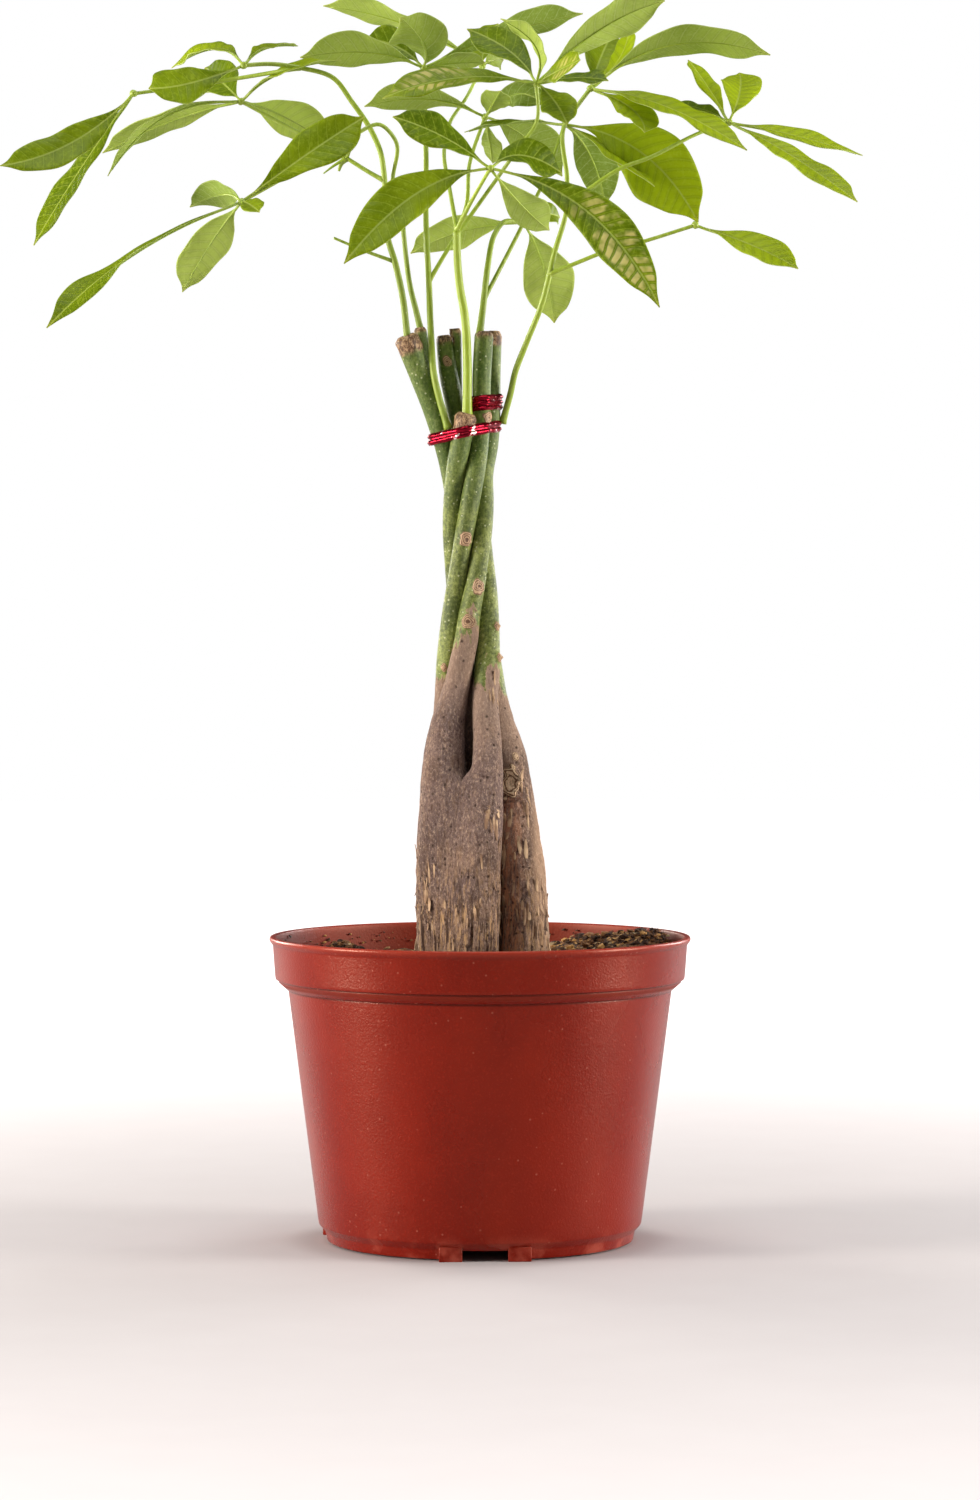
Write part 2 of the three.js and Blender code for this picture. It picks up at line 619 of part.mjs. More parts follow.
export default tree;
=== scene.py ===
# %% [markdown]
# # A potted money tree
# Five young stems are plaited into one trunk, two twists of red foil wire hold their tops together, and
# six shoots of hand-shaped leaves grow from the cut ends. All of it stands in a plastic nursery pot. The
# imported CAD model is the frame: it says where everything is, and each step below dresses one part of it.

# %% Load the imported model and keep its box
import math
import random

import bpy
import numpy as np
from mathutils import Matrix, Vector, noise


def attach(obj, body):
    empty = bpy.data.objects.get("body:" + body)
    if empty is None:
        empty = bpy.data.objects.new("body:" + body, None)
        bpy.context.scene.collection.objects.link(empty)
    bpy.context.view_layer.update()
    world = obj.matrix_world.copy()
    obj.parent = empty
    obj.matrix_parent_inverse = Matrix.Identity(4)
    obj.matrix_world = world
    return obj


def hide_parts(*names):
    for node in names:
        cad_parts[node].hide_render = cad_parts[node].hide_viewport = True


MM = 0.001
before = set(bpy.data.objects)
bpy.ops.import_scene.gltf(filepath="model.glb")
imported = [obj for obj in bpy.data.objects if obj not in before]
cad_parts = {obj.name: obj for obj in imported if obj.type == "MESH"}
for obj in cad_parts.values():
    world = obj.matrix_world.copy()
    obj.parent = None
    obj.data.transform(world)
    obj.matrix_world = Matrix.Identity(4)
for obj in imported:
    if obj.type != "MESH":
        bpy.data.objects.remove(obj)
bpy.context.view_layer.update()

# %% [markdown]
# The camera stands where the photographer stood: almost level with the middle of the plant and 1.8 m
# away, with a long lens. A long lens far away keeps the pot's lip a flat ellipse. A near, wide one would
# open it up and make the top leaves look larger than they are.

# %% The camera
VIEWER = Vector((3.9, -1771, 249)) * MM
LOOKS_DOWN = math.radians(1.834)
LENS = 108.7
bpy.ops.object.camera_add(location=VIEWER, rotation=(math.pi / 2 - LOOKS_DOWN, 0, 0))
camera = bpy.context.object
camera.data.lens = LENS
camera.data.clip_end = 20
bpy.context.scene.camera = camera
bpy.context.scene.view_settings.view_transform = "Standard"
print("camera at", tuple(round(v, 3) for v in camera.location))

# %% [markdown]
# Most steps need the same small moves: clear the selection, make a piece the active one, apply what is on
# it, and hand it to the frame. They are written once here. Everything is measured in millimetres and
# scaled to metres where a mesh is made.


# %% Small moves that every step uses
def clear_selection():
    if bpy.context.object and bpy.context.object.mode != "OBJECT":
        bpy.ops.object.mode_set(mode="OBJECT")
    bpy.ops.object.select_all(action="DESELECT")


def take(*pieces):
    """Selects only these pieces and makes the first one active."""
    clear_selection()
    for piece in pieces:
        piece.select_set(True)
    bpy.context.view_layer.objects.active = pieces[0]
    return pieces[0]


def apply_modifiers(piece):
    take(piece)
    for modifier in list(piece.modifiers):
        bpy.ops.object.modifier_apply(modifier=modifier.name)
    return piece


def join_as(name, pieces):
    """Joins pieces into one mesh of that name."""
    take(*pieces)
    if len(pieces) > 1:
        bpy.ops.object.join()
    whole = bpy.context.object
    whole.name = name
    whole.data.name = name
    return whole


def dress(piece, slot, nodes, *materials):
    """Puts a finished piece at the origin, gives it its materials and hands it to the frame."""
    take(piece)
    bpy.ops.object.transform_apply(location=True, rotation=True, scale=True)
    if materials:
        piece.data.materials.clear()
        for material in materials:
            piece.data.materials.append(material)
    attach(piece, "root")
    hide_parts(*nodes)
    print(f"{piece.name}: {len(piece.data.vertices)} points, {len(piece.data.polygons)} faces")
    return piece


# %% Pieces made of points, and numbers stored on them
def piece_from(name, points, faces):
    """A piece made of points in millimetres and the faces between them."""
    mesh = bpy.data.meshes.new(name)
    mesh.from_pydata((np.asarray(points) * MM).tolist(), [], faces)
    piece = bpy.data.objects.new(name, mesh)
    bpy.context.collection.objects.link(piece)
    return piece


def taken_apart(piece):
    """A piece's points in its own units and its faces. The piece itself is removed."""
    points = np.array([v.co for v in piece.data.vertices])
    faces = np.array([f.vertices[:] for f in piece.data.polygons])
    bpy.data.objects.remove(piece, do_unlink=True)
    return points, faces


def copies(name, shapes, faces):
    """One piece of many shapes that share their faces."""
    index = np.concatenate([faces + i * len(shapes[0]) for i in range(len(shapes))])
    return piece_from(name, np.concatenate(shapes), index.tolist())


def thicken(piece, thickness):
    """Turns a sheet into a shell of that thickness. The modifier is still to be applied."""
    shell = piece.modifiers.new("thickness", "SOLIDIFY")
    shell.thickness, shell.offset = thickness * MM, 0
    return shell


def clean_faces(piece, merge):
    """Merges points closer than merge, in millimetres, and turns every face outwards."""
    take(piece)
    bpy.ops.object.mode_set(mode="EDIT")
    bpy.ops.mesh.select_all(action="SELECT")
    if merge:
        bpy.ops.mesh.remove_doubles(threshold=merge * MM)
    bpy.ops.mesh.normals_make_consistent(inside=False)
    bpy.ops.object.mode_set(mode="OBJECT")
    return piece


def smooth_shade(piece, degrees=None):
    """Shades a piece smooth, with creases where two faces meet at more than that angle, if one is given."""
    take(piece)
    if degrees:
        bpy.ops.object.shade_smooth_by_angle(angle=math.radians(degrees))
    else:
        bpy.ops.object.shade_smooth()
    return piece


def corners(piece):
    """The piece's points as rows of x, y, z in millimetres."""
    flat = np.empty(len(piece.data.vertices) * 3)
    piece.data.vertices.foreach_get("co", flat)
    return flat.reshape(-1, 3) / MM


def set_corners(piece, points):
    piece.data.vertices.foreach_set("co", (np.asarray(points) * MM).ravel())
    piece.data.update()


def normals_of(piece):
    return np.array([v.normal for v in piece.data.vertices])


def set_masks(piece, **masks):
    """Stores one number for each point under each name, for a material to read."""
    for name, values in masks.items():
        layer = piece.data.attributes.new(name, "FLOAT", "POINT")
        layer.data.foreach_set("value", np.full(len(piece.data.vertices), values, dtype=float))


def polar(radius, angle):
    """x and y at a distance from the axis and an angle in radians."""
    return radius * math.cos(angle), radius * math.sin(angle)


def smoothstep(values, low, high):
    share = np.clip((values - low) / (high - low), 0, 1)
    return share * share * (3 - 2 * share)


def spots(points, size, seed=0.0):
    """Perlin noise at each point, in a pattern about size mm across. A size for each axis stretches it."""
    scaled = np.asarray(points) / np.asarray(size) + seed
    return np.array([noise.noise(Vector(row)) for row in scaled])


# %% [markdown]
# A plain studio: a pale round floor and five soft boxes under a white sky. The white sky gives the
# clean background and fills the shade under the leaves. The boxes are large so that their reflections on
# the satin pot are broad and soft, one at each side, with a darker band between them.

# %% The floor
FLOOR_RADIUS = 4.0
FLOOR_INSETS = (3.3, 0.35)
clear_selection()
bpy.ops.mesh.primitive_circle_add(vertices=128, radius=FLOOR_RADIUS, fill_type="NGON", location=(0, 0, 0))
floor = bpy.context.object
floor.name = "floor"
bpy.ops.object.mode_set(mode="EDIT")
for width in FLOOR_INSETS:
    bpy.ops.mesh.inset(thickness=width)
bpy.ops.object.mode_set(mode="OBJECT")
print("floor:", len(floor.data.polygons), "faces")

# %% The soft boxes
SOFT_BOXES = {
    # place, width and height in metres, watts, tint
    "light_left": ((-1.84, -0.5, 0.46), (0.6, 0.9), 54, (1, 0.93, 0.84)),
    "light_right": ((1.87, -0.3, 0.46), (0.6, 0.9), 43, (1, 0.95, 0.88)),
    "light_back_left": ((-1.2, 1.4, 0.6), (0.7, 0.7), 20, (1, 0.95, 0.86)),
    "light_back_right": ((1.3, 1.3, 0.6), (0.7, 0.7), 16, (1, 1, 1)),
    "light_top": ((0.0, -0.1, 1.9), (1.2, 1.2), 19, (1, 1, 1)),
}
PLANT_MIDDLE = Vector((0, 0, 0.24))
clear_selection()
for name, (place, size, watts, tint) in SOFT_BOXES.items():
    bpy.ops.object.light_add(type="AREA", location=place)
    light = bpy.context.object
    light.name = name
    light.rotation_euler = (PLANT_MIDDLE - Vector(place)).to_track_quat("-Z", "Y").to_euler()
    light.data.shape = "RECTANGLE"
    light.data.size, light.data.size_y = size
    light.data.energy = watts
    light.data.color = tint
print("lights:", list(SOFT_BOXES))


# %% [markdown]
# Materials are small networks of nodes. One helper adds a node, sets what is constant and links what
# varies, and the others find their tree through the sockets they are given, so that a material reads as a
# list of steps. Colours are given as the photograph shows them, and turned into the linear numbers that a
# renderer works with.


# %% Building blocks for materials
def paint(red, green, blue):
    """A colour from 0 to 255 as linear light."""
    def linear(value):
        share = value / 255
        return share / 12.92 if share <= 0.04045 else ((share + 0.055) / 1.055) ** 2.4

    return (linear(red), linear(green), linear(blue), 1)


def feed(node, **inputs):
    """Gives inputs a value or the socket that feeds them. Base_Color is by name, i0 by number."""
    for key, value in inputs.items():
        by_number = key[0] == "i" and key[1:].isdigit()
        slot = node.inputs[int(key[1:]) if by_number else key.replace("_", " ")]
        if isinstance(value, bpy.types.NodeSocket):
            node.id_data.links.new(value, slot)
        else:
            slot.default_value = value


def add(tree, kind, settings=None, **inputs):
    """A node with its settings and inputs."""
    node = tree.nodes.new(kind)
    for key, value in (settings or {}).items():
        setattr(node, key, value)
    feed(node, **inputs)
    return node


# %% Arithmetic, colours and noise
def tree_of(*values):
    """The node tree of the first socket among these values."""
    return next(v.id_data for v in values if isinstance(v, bpy.types.NodeSocket))


def calc(operation, first, second=0.0, third=0.0):
    """One step of arithmetic."""
    tree = tree_of(first, second, third)
    return add(tree, "ShaderNodeMath", {"operation": operation}, i0=first, i1=second, i2=third).outputs[0]


def plus(first, second):
    return calc("ADD", first, second)


def minus(first, second):
    return calc("SUBTRACT", first, second)


def times(*factors):
    """The product of several numbers."""
    product = factors[0]
    for factor in factors[1:]:
        product = calc("MULTIPLY", product, factor)
    return product


def ramp(value, low, high, start=0.0, end=1.0):
    """Turns low to high into start to end, smoothly."""
    kinds = {"interpolation_type": "SMOOTHSTEP"}
    node = add(tree_of(value), "ShaderNodeMapRange", kinds, i0=value, i1=low, i2=high, i3=start, i4=end)
    return node.outputs[0]


def mix(share, below, above):
    """Lays one colour over another."""
    tree = tree_of(share, below, above)
    return add(tree, "ShaderNodeMix", {"data_type": "RGBA"}, i0=share, i6=below, i7=above).outputs[2]


def grain(place, scale, detail=3.0, roughness=0.55, squeeze=(1, 1, 1)):
    """Cloudy noise at a place. The squeeze stretches it along an axis."""
    tree = tree_of(place)
    stretched = add(tree, "ShaderNodeMapping", Vector=place, Scale=squeeze).outputs[0]
    settings = {"Scale": scale, "Detail": detail, "Roughness": roughness}
    return add(tree, "ShaderNodeTexNoise", Vector=stretched, **settings).outputs[0]


def relief(height, strength, depth):
    """A bump of that depth in metres."""
    node = add(tree_of(height), "ShaderNodeBump", Height=height, Strength=strength, Distance=depth)
    return node.outputs[0]


# %% New materials and groups, and numbers that a piece stores
def new_material(name):
    """A material with its node tree, its Principled shader and the object's coordinates."""
    material = bpy.data.materials.new(name)
    material.use_nodes = True
    tree = material.node_tree
    shader = tree.nodes["Principled BSDF"]
    place = tree.nodes.new("ShaderNodeTexCoord").outputs["Object"]
    return material, tree, shader, place


def new_group(name, inputs, outputs):
    """An empty node group with named inputs, a number or None for a place, and number outputs."""
    group = bpy.data.node_groups.new(name, "ShaderNodeTree")
    for label, value in inputs.items():
        kind = "NodeSocketVector" if value is None else "NodeSocketFloat"
        socket = group.interface.new_socket(label, in_out="INPUT", socket_type=kind)
        if value is not None:
            socket.default_value = value
    for label in outputs:
        group.interface.new_socket(label, in_out="OUTPUT", socket_type="NodeSocketFloat")
    return group, group.nodes.new("NodeGroupInput").outputs, group.nodes.new("NodeGroupOutput").inputs


def use(group, **inputs):
    """Places a group in a material with its own values."""
    return add(tree_of(*inputs.values()), "ShaderNodeGroup", {"node_tree": group}, **inputs).outputs


def attributes(tree, *names):
    """The numbers that a piece stores for its points under these names."""
    return [add(tree, "ShaderNodeAttribute", {"attribute_name": name}).outputs["Fac"] for name in names]


def vector(x, y, z):
    return add(tree_of(x, y, z), "ShaderNodeCombineXYZ", X=x, Y=y, Z=z).outputs[0]


def length_of(place):
    node = add(tree_of(place), "ShaderNodeVectorMath", {"operation": "LENGTH"}, i0=place)
    return node.outputs["Value"]


# %% The white sky and the floor's paint
world = bpy.data.worlds.new("white_sky")
bpy.context.scene.world = world
world.use_nodes = True
sky = world.node_tree
rays = sky.nodes.new("ShaderNodeLightPath").outputs
in_shade = ramp(rays["Is Glossy Ray"], 0, 1, 0.24, 0.1)
strength = plus(in_shade, ramp(rays["Is Camera Ray"], 0, 1, 0.0, 0.76))
sky.links.new(strength, sky.nodes["Background"].inputs["Strength"])
sky.nodes["Background"].inputs["Color"].default_value = (1, 1, 1, 1)

floor_paint, tree, shader, place = new_material("floor_paint")
distance = length_of(place)
# Painted glow and shade: the floor glows for the camera only, none under the pot and faintly at its foot,
# more and more further out, so a painted shade lies round the pot.
seen_directly = tree.nodes.new("ShaderNodeLightPath").outputs["Is Camera Ray"]
painted_glow_at_foot = ramp(distance, 0.064, 0.08, 0.0, 0.1)
far = times(plus(painted_glow_at_foot, ramp(distance, 0.08, 1.3, 0.0, 0.9)), seen_directly)
feed(shader, Base_Color=mix(grain(place, 30), paint(180, 174, 175), paint(185, 180, 181)))
feed(shader, Roughness=0.7, Emission_Color=(1, 0.94, 0.92, 1), Emission_Strength=far)
floor.data.materials.append(floor_paint)
print("floor paint has", len(tree.nodes), "nodes")

# %% [markdown]
# Several surfaces share the same fine marks: pores in bark, pale specks on green stems, tiny spots on
# leaves, dust on plastic. Cells of random size with a dot in some of them give all of these. The group
# takes the size of the cells, of the dots, and the share of cells that have one.

# %% A group for specks and pores
specks, inner, outer = new_group(
    "specks", {"Place": None, "Scale": 500.0, "Size": 0.3, "Share": 0.5}, ["Mask"]
)
cells = add(specks, "ShaderNodeTexVoronoi", Vector=inner["Place"], Scale=inner["Scale"])
cell_kind = add(specks, "ShaderNodeSeparateColor", Color=cells.outputs["Color"]).outputs[0]
chosen = calc("LESS_THAN", cell_kind, inner["Share"])
dot = ramp(cells.outputs["Distance"], inner["Size"], times(inner["Size"], 0.45))
specks.links.new(times(dot, chosen), outer["Mask"])
print("specks group:", len(specks.nodes), "nodes")

# %% [markdown]
# The pot is a thin blow of red plastic: a tapered wall, a step out to a collar, a rolled lip, and a raised
# floor on a low foot ring. All of it is round, so its outline is drawn once as a chain of points and spun
# about the axis. Corners are rounded in the outline itself, which keeps every radius under control.

# %% The pot's outline
POT_OUTLINE = [
    # radius, height, rounding
    (0, 0, 0), (14, 0, 1), (16, 4.2, 1), (57.4, 4.2, 1), (57.8, 0.5, 0.4), (59.9, 0.5, 0.5), (60.7, 4.3, 0.5),
    (63.2, 7.0, 0.5), (63.6, 9.5, 0.8), (75.0, 98.3, 0.3), (75.0, 98.9, 0.1), (75.8, 99.1, 0.2),
    (78.9, 101.9, 0.4), (78.9, 102.7, 0.1), (80.0, 103.0, 0.3), (80.2, 104.0, 0.4), (81.1, 116.4, 0.6),
    (81.9, 117.3, 0.5), (82.5, 118.4, 0.6), (82.1, 119.5, 0.6), (80.0, 119.5, 0.7),
    (79.7, 117, 1.2), (78.7, 102.8, 1.0), (73.7, 97.4, 1.5), (62.2, 8.5, 1.5), (60.2, 5.6, 1.2),
    (15.2, 5.6, 1.5), (13.2, 1.4, 0.8), (0, 1.4, 0),
]
ARC_STEPS = 5
SPIN_STEPS = 160


def rounded(outline):
    """The outline with an arc in place of each corner, as Vectors in the plane y = 0."""
    points = [Vector((r, 0, z)) for r, z, _ in outline]
    smooth = []
    for i, point in enumerate(points):
        radius = outline[i][2]
        if not radius:
            smooth.append(point)
            continue
        before, after = points[i - 1] - point, points[i + 1] - point
        reach = min(radius, before.length * 0.45, after.length * 0.45)
        start, end = point + before.normalized() * reach, point + after.normalized() * reach
        for step in range(ARC_STEPS):
            t = step / (ARC_STEPS - 1)
            smooth.append(start * (1 - t) ** 2 + point * 2 * t * (1 - t) + end * t * t)
    return smooth


def spin_outline(name, outline, steps):
    """Draws an outline by extruding one point along it, and spins it into a closed body."""
    clear_selection()
    bpy.ops.mesh.primitive_plane_add(size=MM, location=(0, 0, 0))
    body = bpy.context.object
    body.name = name
    bpy.ops.object.mode_set(mode="EDIT")
    bpy.ops.mesh.merge(type="CENTER")
    bpy.ops.transform.translate(value=outline[0] * MM)
    for before, after in zip(outline, outline[1:]):
        bpy.ops.mesh.extrude_region_move(TRANSFORM_OT_translate={"value": (after - before) * MM})
    bpy.ops.mesh.select_all(action="SELECT")
    bpy.ops.mesh.spin(steps=steps, angle=math.tau, center=(0, 0, 0), axis=(0, 0, 1))
    return clean_faces(body, merge=0.005)


pot = spin_outline("pot_shell", rounded(POT_OUTLINE), SPIN_STEPS)
print("pot:", len(pot.data.vertices), "points")

# %% [markdown]
# Water leaves through four holes in the floor and runs out of three notches in the foot. Beside each notch
# the foot stands out in a small block. Blocks are joined and holes cut with Boolean modifiers, which is
# how the mould adds and takes away.

# %% Blocks, notches and drain holes
FOOT_RADIUS = 60.4
NOTCH_TURN = 2
NOTCH_WIDTH, NOTCH_DEPTH, NOTCH_HEIGHT = 17.5, 12, 5.8
BLOCK_WIDTH, BLOCK_DEPTH, BLOCK_HEIGHT = 8.8, 6, 5.6
BLOCK_PROUD = 0.8
DRAIN_RADIUS, DRAIN_RING = 4.5, 40


def box_at(name, size, turn, out, aside, up, soften):
    """A bevelled box whose centre is a distance out from the axis, turned about it."""
    clear_selection()
    bpy.ops.mesh.primitive_cube_add(size=1, location=(0, 0, 0))
    box = bpy.context.object
    box.name = name
    box.scale = [side * MM for side in size]
    bpy.ops.object.transform_apply(location=False, rotation=False, scale=True)
    soft = box.modifiers.new("soften", "BEVEL")
    soft.width, soft.segments = soften * MM, 3
    apply_modifiers(box)
    angle = math.radians(turn)
    box.location = Vector((
        out * math.cos(angle) - aside * math.sin(angle),
        out * math.sin(angle) + aside * math.cos(angle),
        up,
    )) * MM
    box.rotation_euler.z = angle
    bpy.ops.object.transform_apply(location=True, rotation=True, scale=False)
    return box


def combine(body, tool, operation):
    """Joins a tool to a body or cuts it away."""
    modifier = body.modifiers.new("combine", "BOOLEAN")
    modifier.operation, modifier.object, modifier.solver = operation, tool, "EXACT"
    apply_modifiers(body)
    bpy.data.objects.remove(tool, do_unlink=True)


for third in range(3):
    turn = -90 + NOTCH_TURN + 120 * third
    for hand in (-1, 1):
        aside = hand * (NOTCH_WIDTH + BLOCK_WIDTH) / 2
        out = FOOT_RADIUS + BLOCK_PROUD - BLOCK_DEPTH / 2
        size = (BLOCK_DEPTH, BLOCK_WIDTH, BLOCK_HEIGHT)
        combine(pot, box_at("block", size, turn, out, aside, BLOCK_HEIGHT / 2, 0.3), "UNION")
    size = (NOTCH_DEPTH, NOTCH_WIDTH, NOTCH_HEIGHT)
    combine(pot, box_at("notch", size, turn, FOOT_RADIUS - 1, 0, 1.3, 0.5), "DIFFERENCE")
for quarter in range(4):
    angle = math.radians(45 + 90 * quarter)
    clear_selection()
    spot = Vector((*polar(DRAIN_RING, angle), 4.2)) * MM
    bpy.ops.mesh.primitive_cylinder_add(vertices=32, radius=DRAIN_RADIUS * MM, depth=12 * MM, location=spot)
    combine(pot, bpy.context.object, "DIFFERENCE")
smooth_shade(pot, 35)
print("pot with foot:", len(pot.data.polygons), "faces")

# %% [markdown]
# Nursery pots are satin polypropylene: the red runs all through it, with faint clouds where the plastic
# flowed, a very fine moulded grain, and a few pale scuffs on the foot where pots rub against each other.
# The top of the lip is painted a lighter, warmer red as a painted highlight, and the two grooves where the
# wall steps out to the collar are painted dark as a painted shade.

# %% The pot's plastic
GROOVES = (0.0988, 0.1026)  # their heights in metres
COLLAR_TAPER = 0.069  # how fast the collar widens with height
pot_plastic, tree, shader, place = new_material("pot_plastic")
across = add(tree, "ShaderNodeSeparateXYZ", Vector=place)
height = across.outputs["Z"]
clouds = grain(place, 22, 4, 0.6)
flow = grain(place, 30, 3, 0.6, (1, 1, 0.4))
moulded = grain(place, 1150, 2, 0.6)
red = mix(ramp(clouds, 0.35, 0.65), paint(114, 15, 3), paint(124, 20, 5))
red = mix(ramp(flow, 0.45, 0.7, 0, 0.2), red, paint(146, 34, 10))
red = mix(ramp(moulded, 0.52, 0.75, 0, 0.3), red, paint(160, 44, 28))
# Painted shade: the two grooves where the wall steps out to the collar are painted dark red, standing in for
# the shade in them.
from_groove = [calc("ABSOLUTE", minus(height, line)) for line in GROOVES]
painted_groove_shade = ramp(calc("MINIMUM", *from_groove), 0.0007, 0.0002)
red = mix(times(painted_groove_shade, 0.75), red, paint(74, 10, 6))
# Painted highlight: the top of the lip is painted a lighter, warmer red.
painted_lip_highlight = ramp(height, 0.1165, 0.1195, 0, 0.4)
red = mix(painted_lip_highlight, red, paint(180, 74, 56))
dust = use(specks, Place=place, Scale=420.0, Size=0.22, Share=0.10)["Mask"]
rubbed = times(ramp(height, 0.012, 0.0, 0.0, 0.5), ramp(grain(place, 90), 0.45, 0.65))
red = mix(times(dust, 0.25), red, paint(205, 130, 112))
red = mix(rubbed, red, paint(186, 92, 74))
radius = length_of(vector(across.outputs["X"], across.outputs["Y"], 0.0))
at_foot = minus(radius, times(height, COLLAR_TAPER))
inside = times(ramp(at_foot, 0.072, 0.0715), ramp(height, 0.1, 0.101))
red = mix(times(inside, ramp(clouds, 0.3, 0.6, 0.15, 0.45)), red, paint(122, 46, 24))
feed(
    shader, Base_Color=red, Specular_IOR_Level=0.42, Specular_Tint=(1.0, 0.6, 0.45, 1),
    Roughness=plus(plus(0.25, times(clouds, 0.05)), times(inside, 0.3)),
    Normal=relief(moulded, 0.42, 0.0003),
)
dress(pot, "pot", ["pot"], pot_plastic)

# %% [markdown]
# The soil fills the pot to a finger below the lip, banks up at the back right, and has one clump at the
# back left. Its body is spun like the pot, and then the top is lifted by a height formula, the same one as
# the CAD model has, with a finer crumble added.

# %% The body of the soil
SOIL_LEVEL = 108
SOIL_RADIUS = 77.6
SOIL_OUTLINE = [
    (0, 1.7), (12.6, 1.7), (14.8, 5.9), (59.6, 5.9), (61.9, 8.8), (73.3, 98.1), (77.3, 103),
    (SOIL_RADIUS, SOIL_LEVEL),
]
SOIL_RINGS = 64
SOIL_HILLS = [  # x, y, reach, rise
    (66, 25, 15, 10.5), (44, 48, 13, 6.5), (-55, 34, 6, 6),
]


def soil_height(x, y):
    """The height of the soil at a place: its hills and a shallow ripple."""
    hills = sum(
        rise * np.exp(-((x - hill_x) ** 2 + (y - hill_y) ** 2) / (2 * reach**2))
        for hill_x, hill_y, reach, rise in SOIL_HILLS
    )
    ripple = 0.5 * np.sin(x / 6.1) * np.cos(y / 5.3) + 0.4 * np.sin((x + y) / 4.2)
    return SOIL_LEVEL + hills + ripple


outline = [Vector((r, 0, z)) for r, z in SOIL_OUTLINE]
outline += [Vector((SOIL_RADIUS * (1 - i / SOIL_RINGS), 0, SOIL_LEVEL)) for i in range(1, SOIL_RINGS + 1)]
soil = spin_outline("soil_body", outline, 144)
points = corners(soil)
top = points[:, 2] > SOIL_LEVEL - 0.01
crumble = 1.5 * spots(points[top], 5.0, 3.7) + 0.9 * spots(points[top], 1.9, 8.1)
inward = smoothstep(np.hypot(points[top, 0], points[top, 1]), SOIL_RADIUS, 73)
points[top, 2] = soil_height(points[top, 0], points[top, 1]) + crumble * (0.3 + 0.7 * inward)
set_corners(soil, points)
smooth_shade(soil)
print("soil top from", round(points[top, 2].min(), 1), "to", round(points[top, 2].max(), 1), "mm")

# %% [markdown]
# What the eye reads as soil is its crumbs. One small rough ball is modelled, and copies of it in many
# sizes are scattered over the top from a seeded dice, thicker where the soil banks up. A few flat chips of
# bark and pale husk lie between them, and some grains stick to the wall above.

# %% Crumbs and chips
DICE = random.Random(7)


def rough_ball(detail, squash):
    """The points and faces of a small ball with knocked-in sides, one unit across."""
    clear_selection()
    bpy.ops.mesh.primitive_ico_sphere_add(subdivisions=detail, radius=0.5)
    shape, faces = taken_apart(bpy.context.object)
    shape *= (1 + 0.9 * spots(shape, 0.32, 2.3 + squash))[:, None]
    shape[:, 2] *= squash
    return shape, faces


def scatter(name, detail, squash, sites, slim=(1, 1, 1)):
    """One mesh of copies of the rough ball, each at its site with its size, turn and shade."""
    shape, faces = rough_ball(detail, squash)
    shape = shape * slim
    shapes = []
    for x, y, z, size, _ in sites:
        a, b = DICE.uniform(0, math.tau), DICE.uniform(-0.6, 0.6)
        turn = np.array([
            [math.cos(a), -math.sin(a), 0], [math.sin(a), math.cos(a), 0], [0, 0, 1],
        ]) @ np.array([[1, 0, 0], [0, math.cos(b), -math.sin(b)], [0, math.sin(b), math.cos(b)]])
        shapes.append(shape @ turn.T * size + (x, y, z))
    piece = copies(name, shapes, faces)
    set_masks(piece, shade=np.repeat([shade for *_, shade in sites], len(shape)))
    return piece


# %% Where the crumbs lie
IN_SOIL, ON_BANK, IN_HEAP, ON_CLUMP, ON_WALL = 4200, 900, 200, 46, 150
SOIL_EDGE = 77
HEAP_SPAN = (-4, 46)  # its bearings in degrees
COLLAR_INSIDE, COLLAR_FROM = 77.85, 102.4


def soil_site(low, high, sink=0.25):
    """A random place on the soil with a size between low and high."""
    while True:
        x, y = DICE.uniform(1 - SOIL_EDGE, SOIL_EDGE - 1), DICE.uniform(1 - SOIL_EDGE, SOIL_EDGE - 1)
        size = low + (high - low) * DICE.random() ** 2.2
        if math.hypot(x, y) < SOIL_EDGE - size * 0.6:
            break
    return x, y, float(soil_height(x, y)) + size * (0.5 - sink), size, DICE.random()


def soil_sites(count, low, high, sink=0.25):
    return [soil_site(low, high, sink) for _ in range(count)]


def bank_sites():
    """Larger crumbs, most of them on the bank at the back right."""
    sites = []
    for _ in range(ON_BANK):
        site = soil_site(1.2, 4.6)
        if site[0] + site[1] > 64 or DICE.random() < 0.4:
            sites.append(site)
    return sites


def heap_sites():
    """Crumbs piled against the wall where the mound is."""
    sites = []
    for _ in range(IN_HEAP):
        bearing = DICE.uniform(*HEAP_SPAN)
        x, y = polar(SOIL_EDGE - 12 * DICE.random() ** 1.5, math.radians(bearing))
        along = (bearing - HEAP_SPAN[0]) / (HEAP_SPAN[1] - HEAP_SPAN[0])
        lift = 2.0 * DICE.random() * math.sin(math.pi * along)
        sites.append((x, y, float(soil_height(x, y)) + lift, DICE.uniform(0.9, 2.8), DICE.random()))
    return sites


def clump_sites():
    """Lumps on the clump at the left."""
    sites = []
    for _ in range(ON_CLUMP):
        x, y = (middle + DICE.gauss(0, 3.4) for middle in SOIL_HILLS[-1][:2])
        sites.append((x, y, float(soil_height(x, y)) + 0.3, DICE.uniform(1.6, 4), DICE.random()))
    return sites


def wall_sites():
    """Grains that stick to the collar's inside, most of them at the back."""
    sites = []
    for _ in range(ON_WALL):
        angle = DICE.uniform(0.15, math.pi - 0.15) if DICE.random() < 0.7 else DICE.uniform(0, math.tau)
        z = 112 + 5.5 * DICE.random() ** 2
        x, y = polar(COLLAR_INSIDE + (z - COLLAR_FROM) * COLLAR_TAPER, angle)
        sites.append((x, y, z, DICE.uniform(0.5, 1.5), DICE.random()))
    return sites


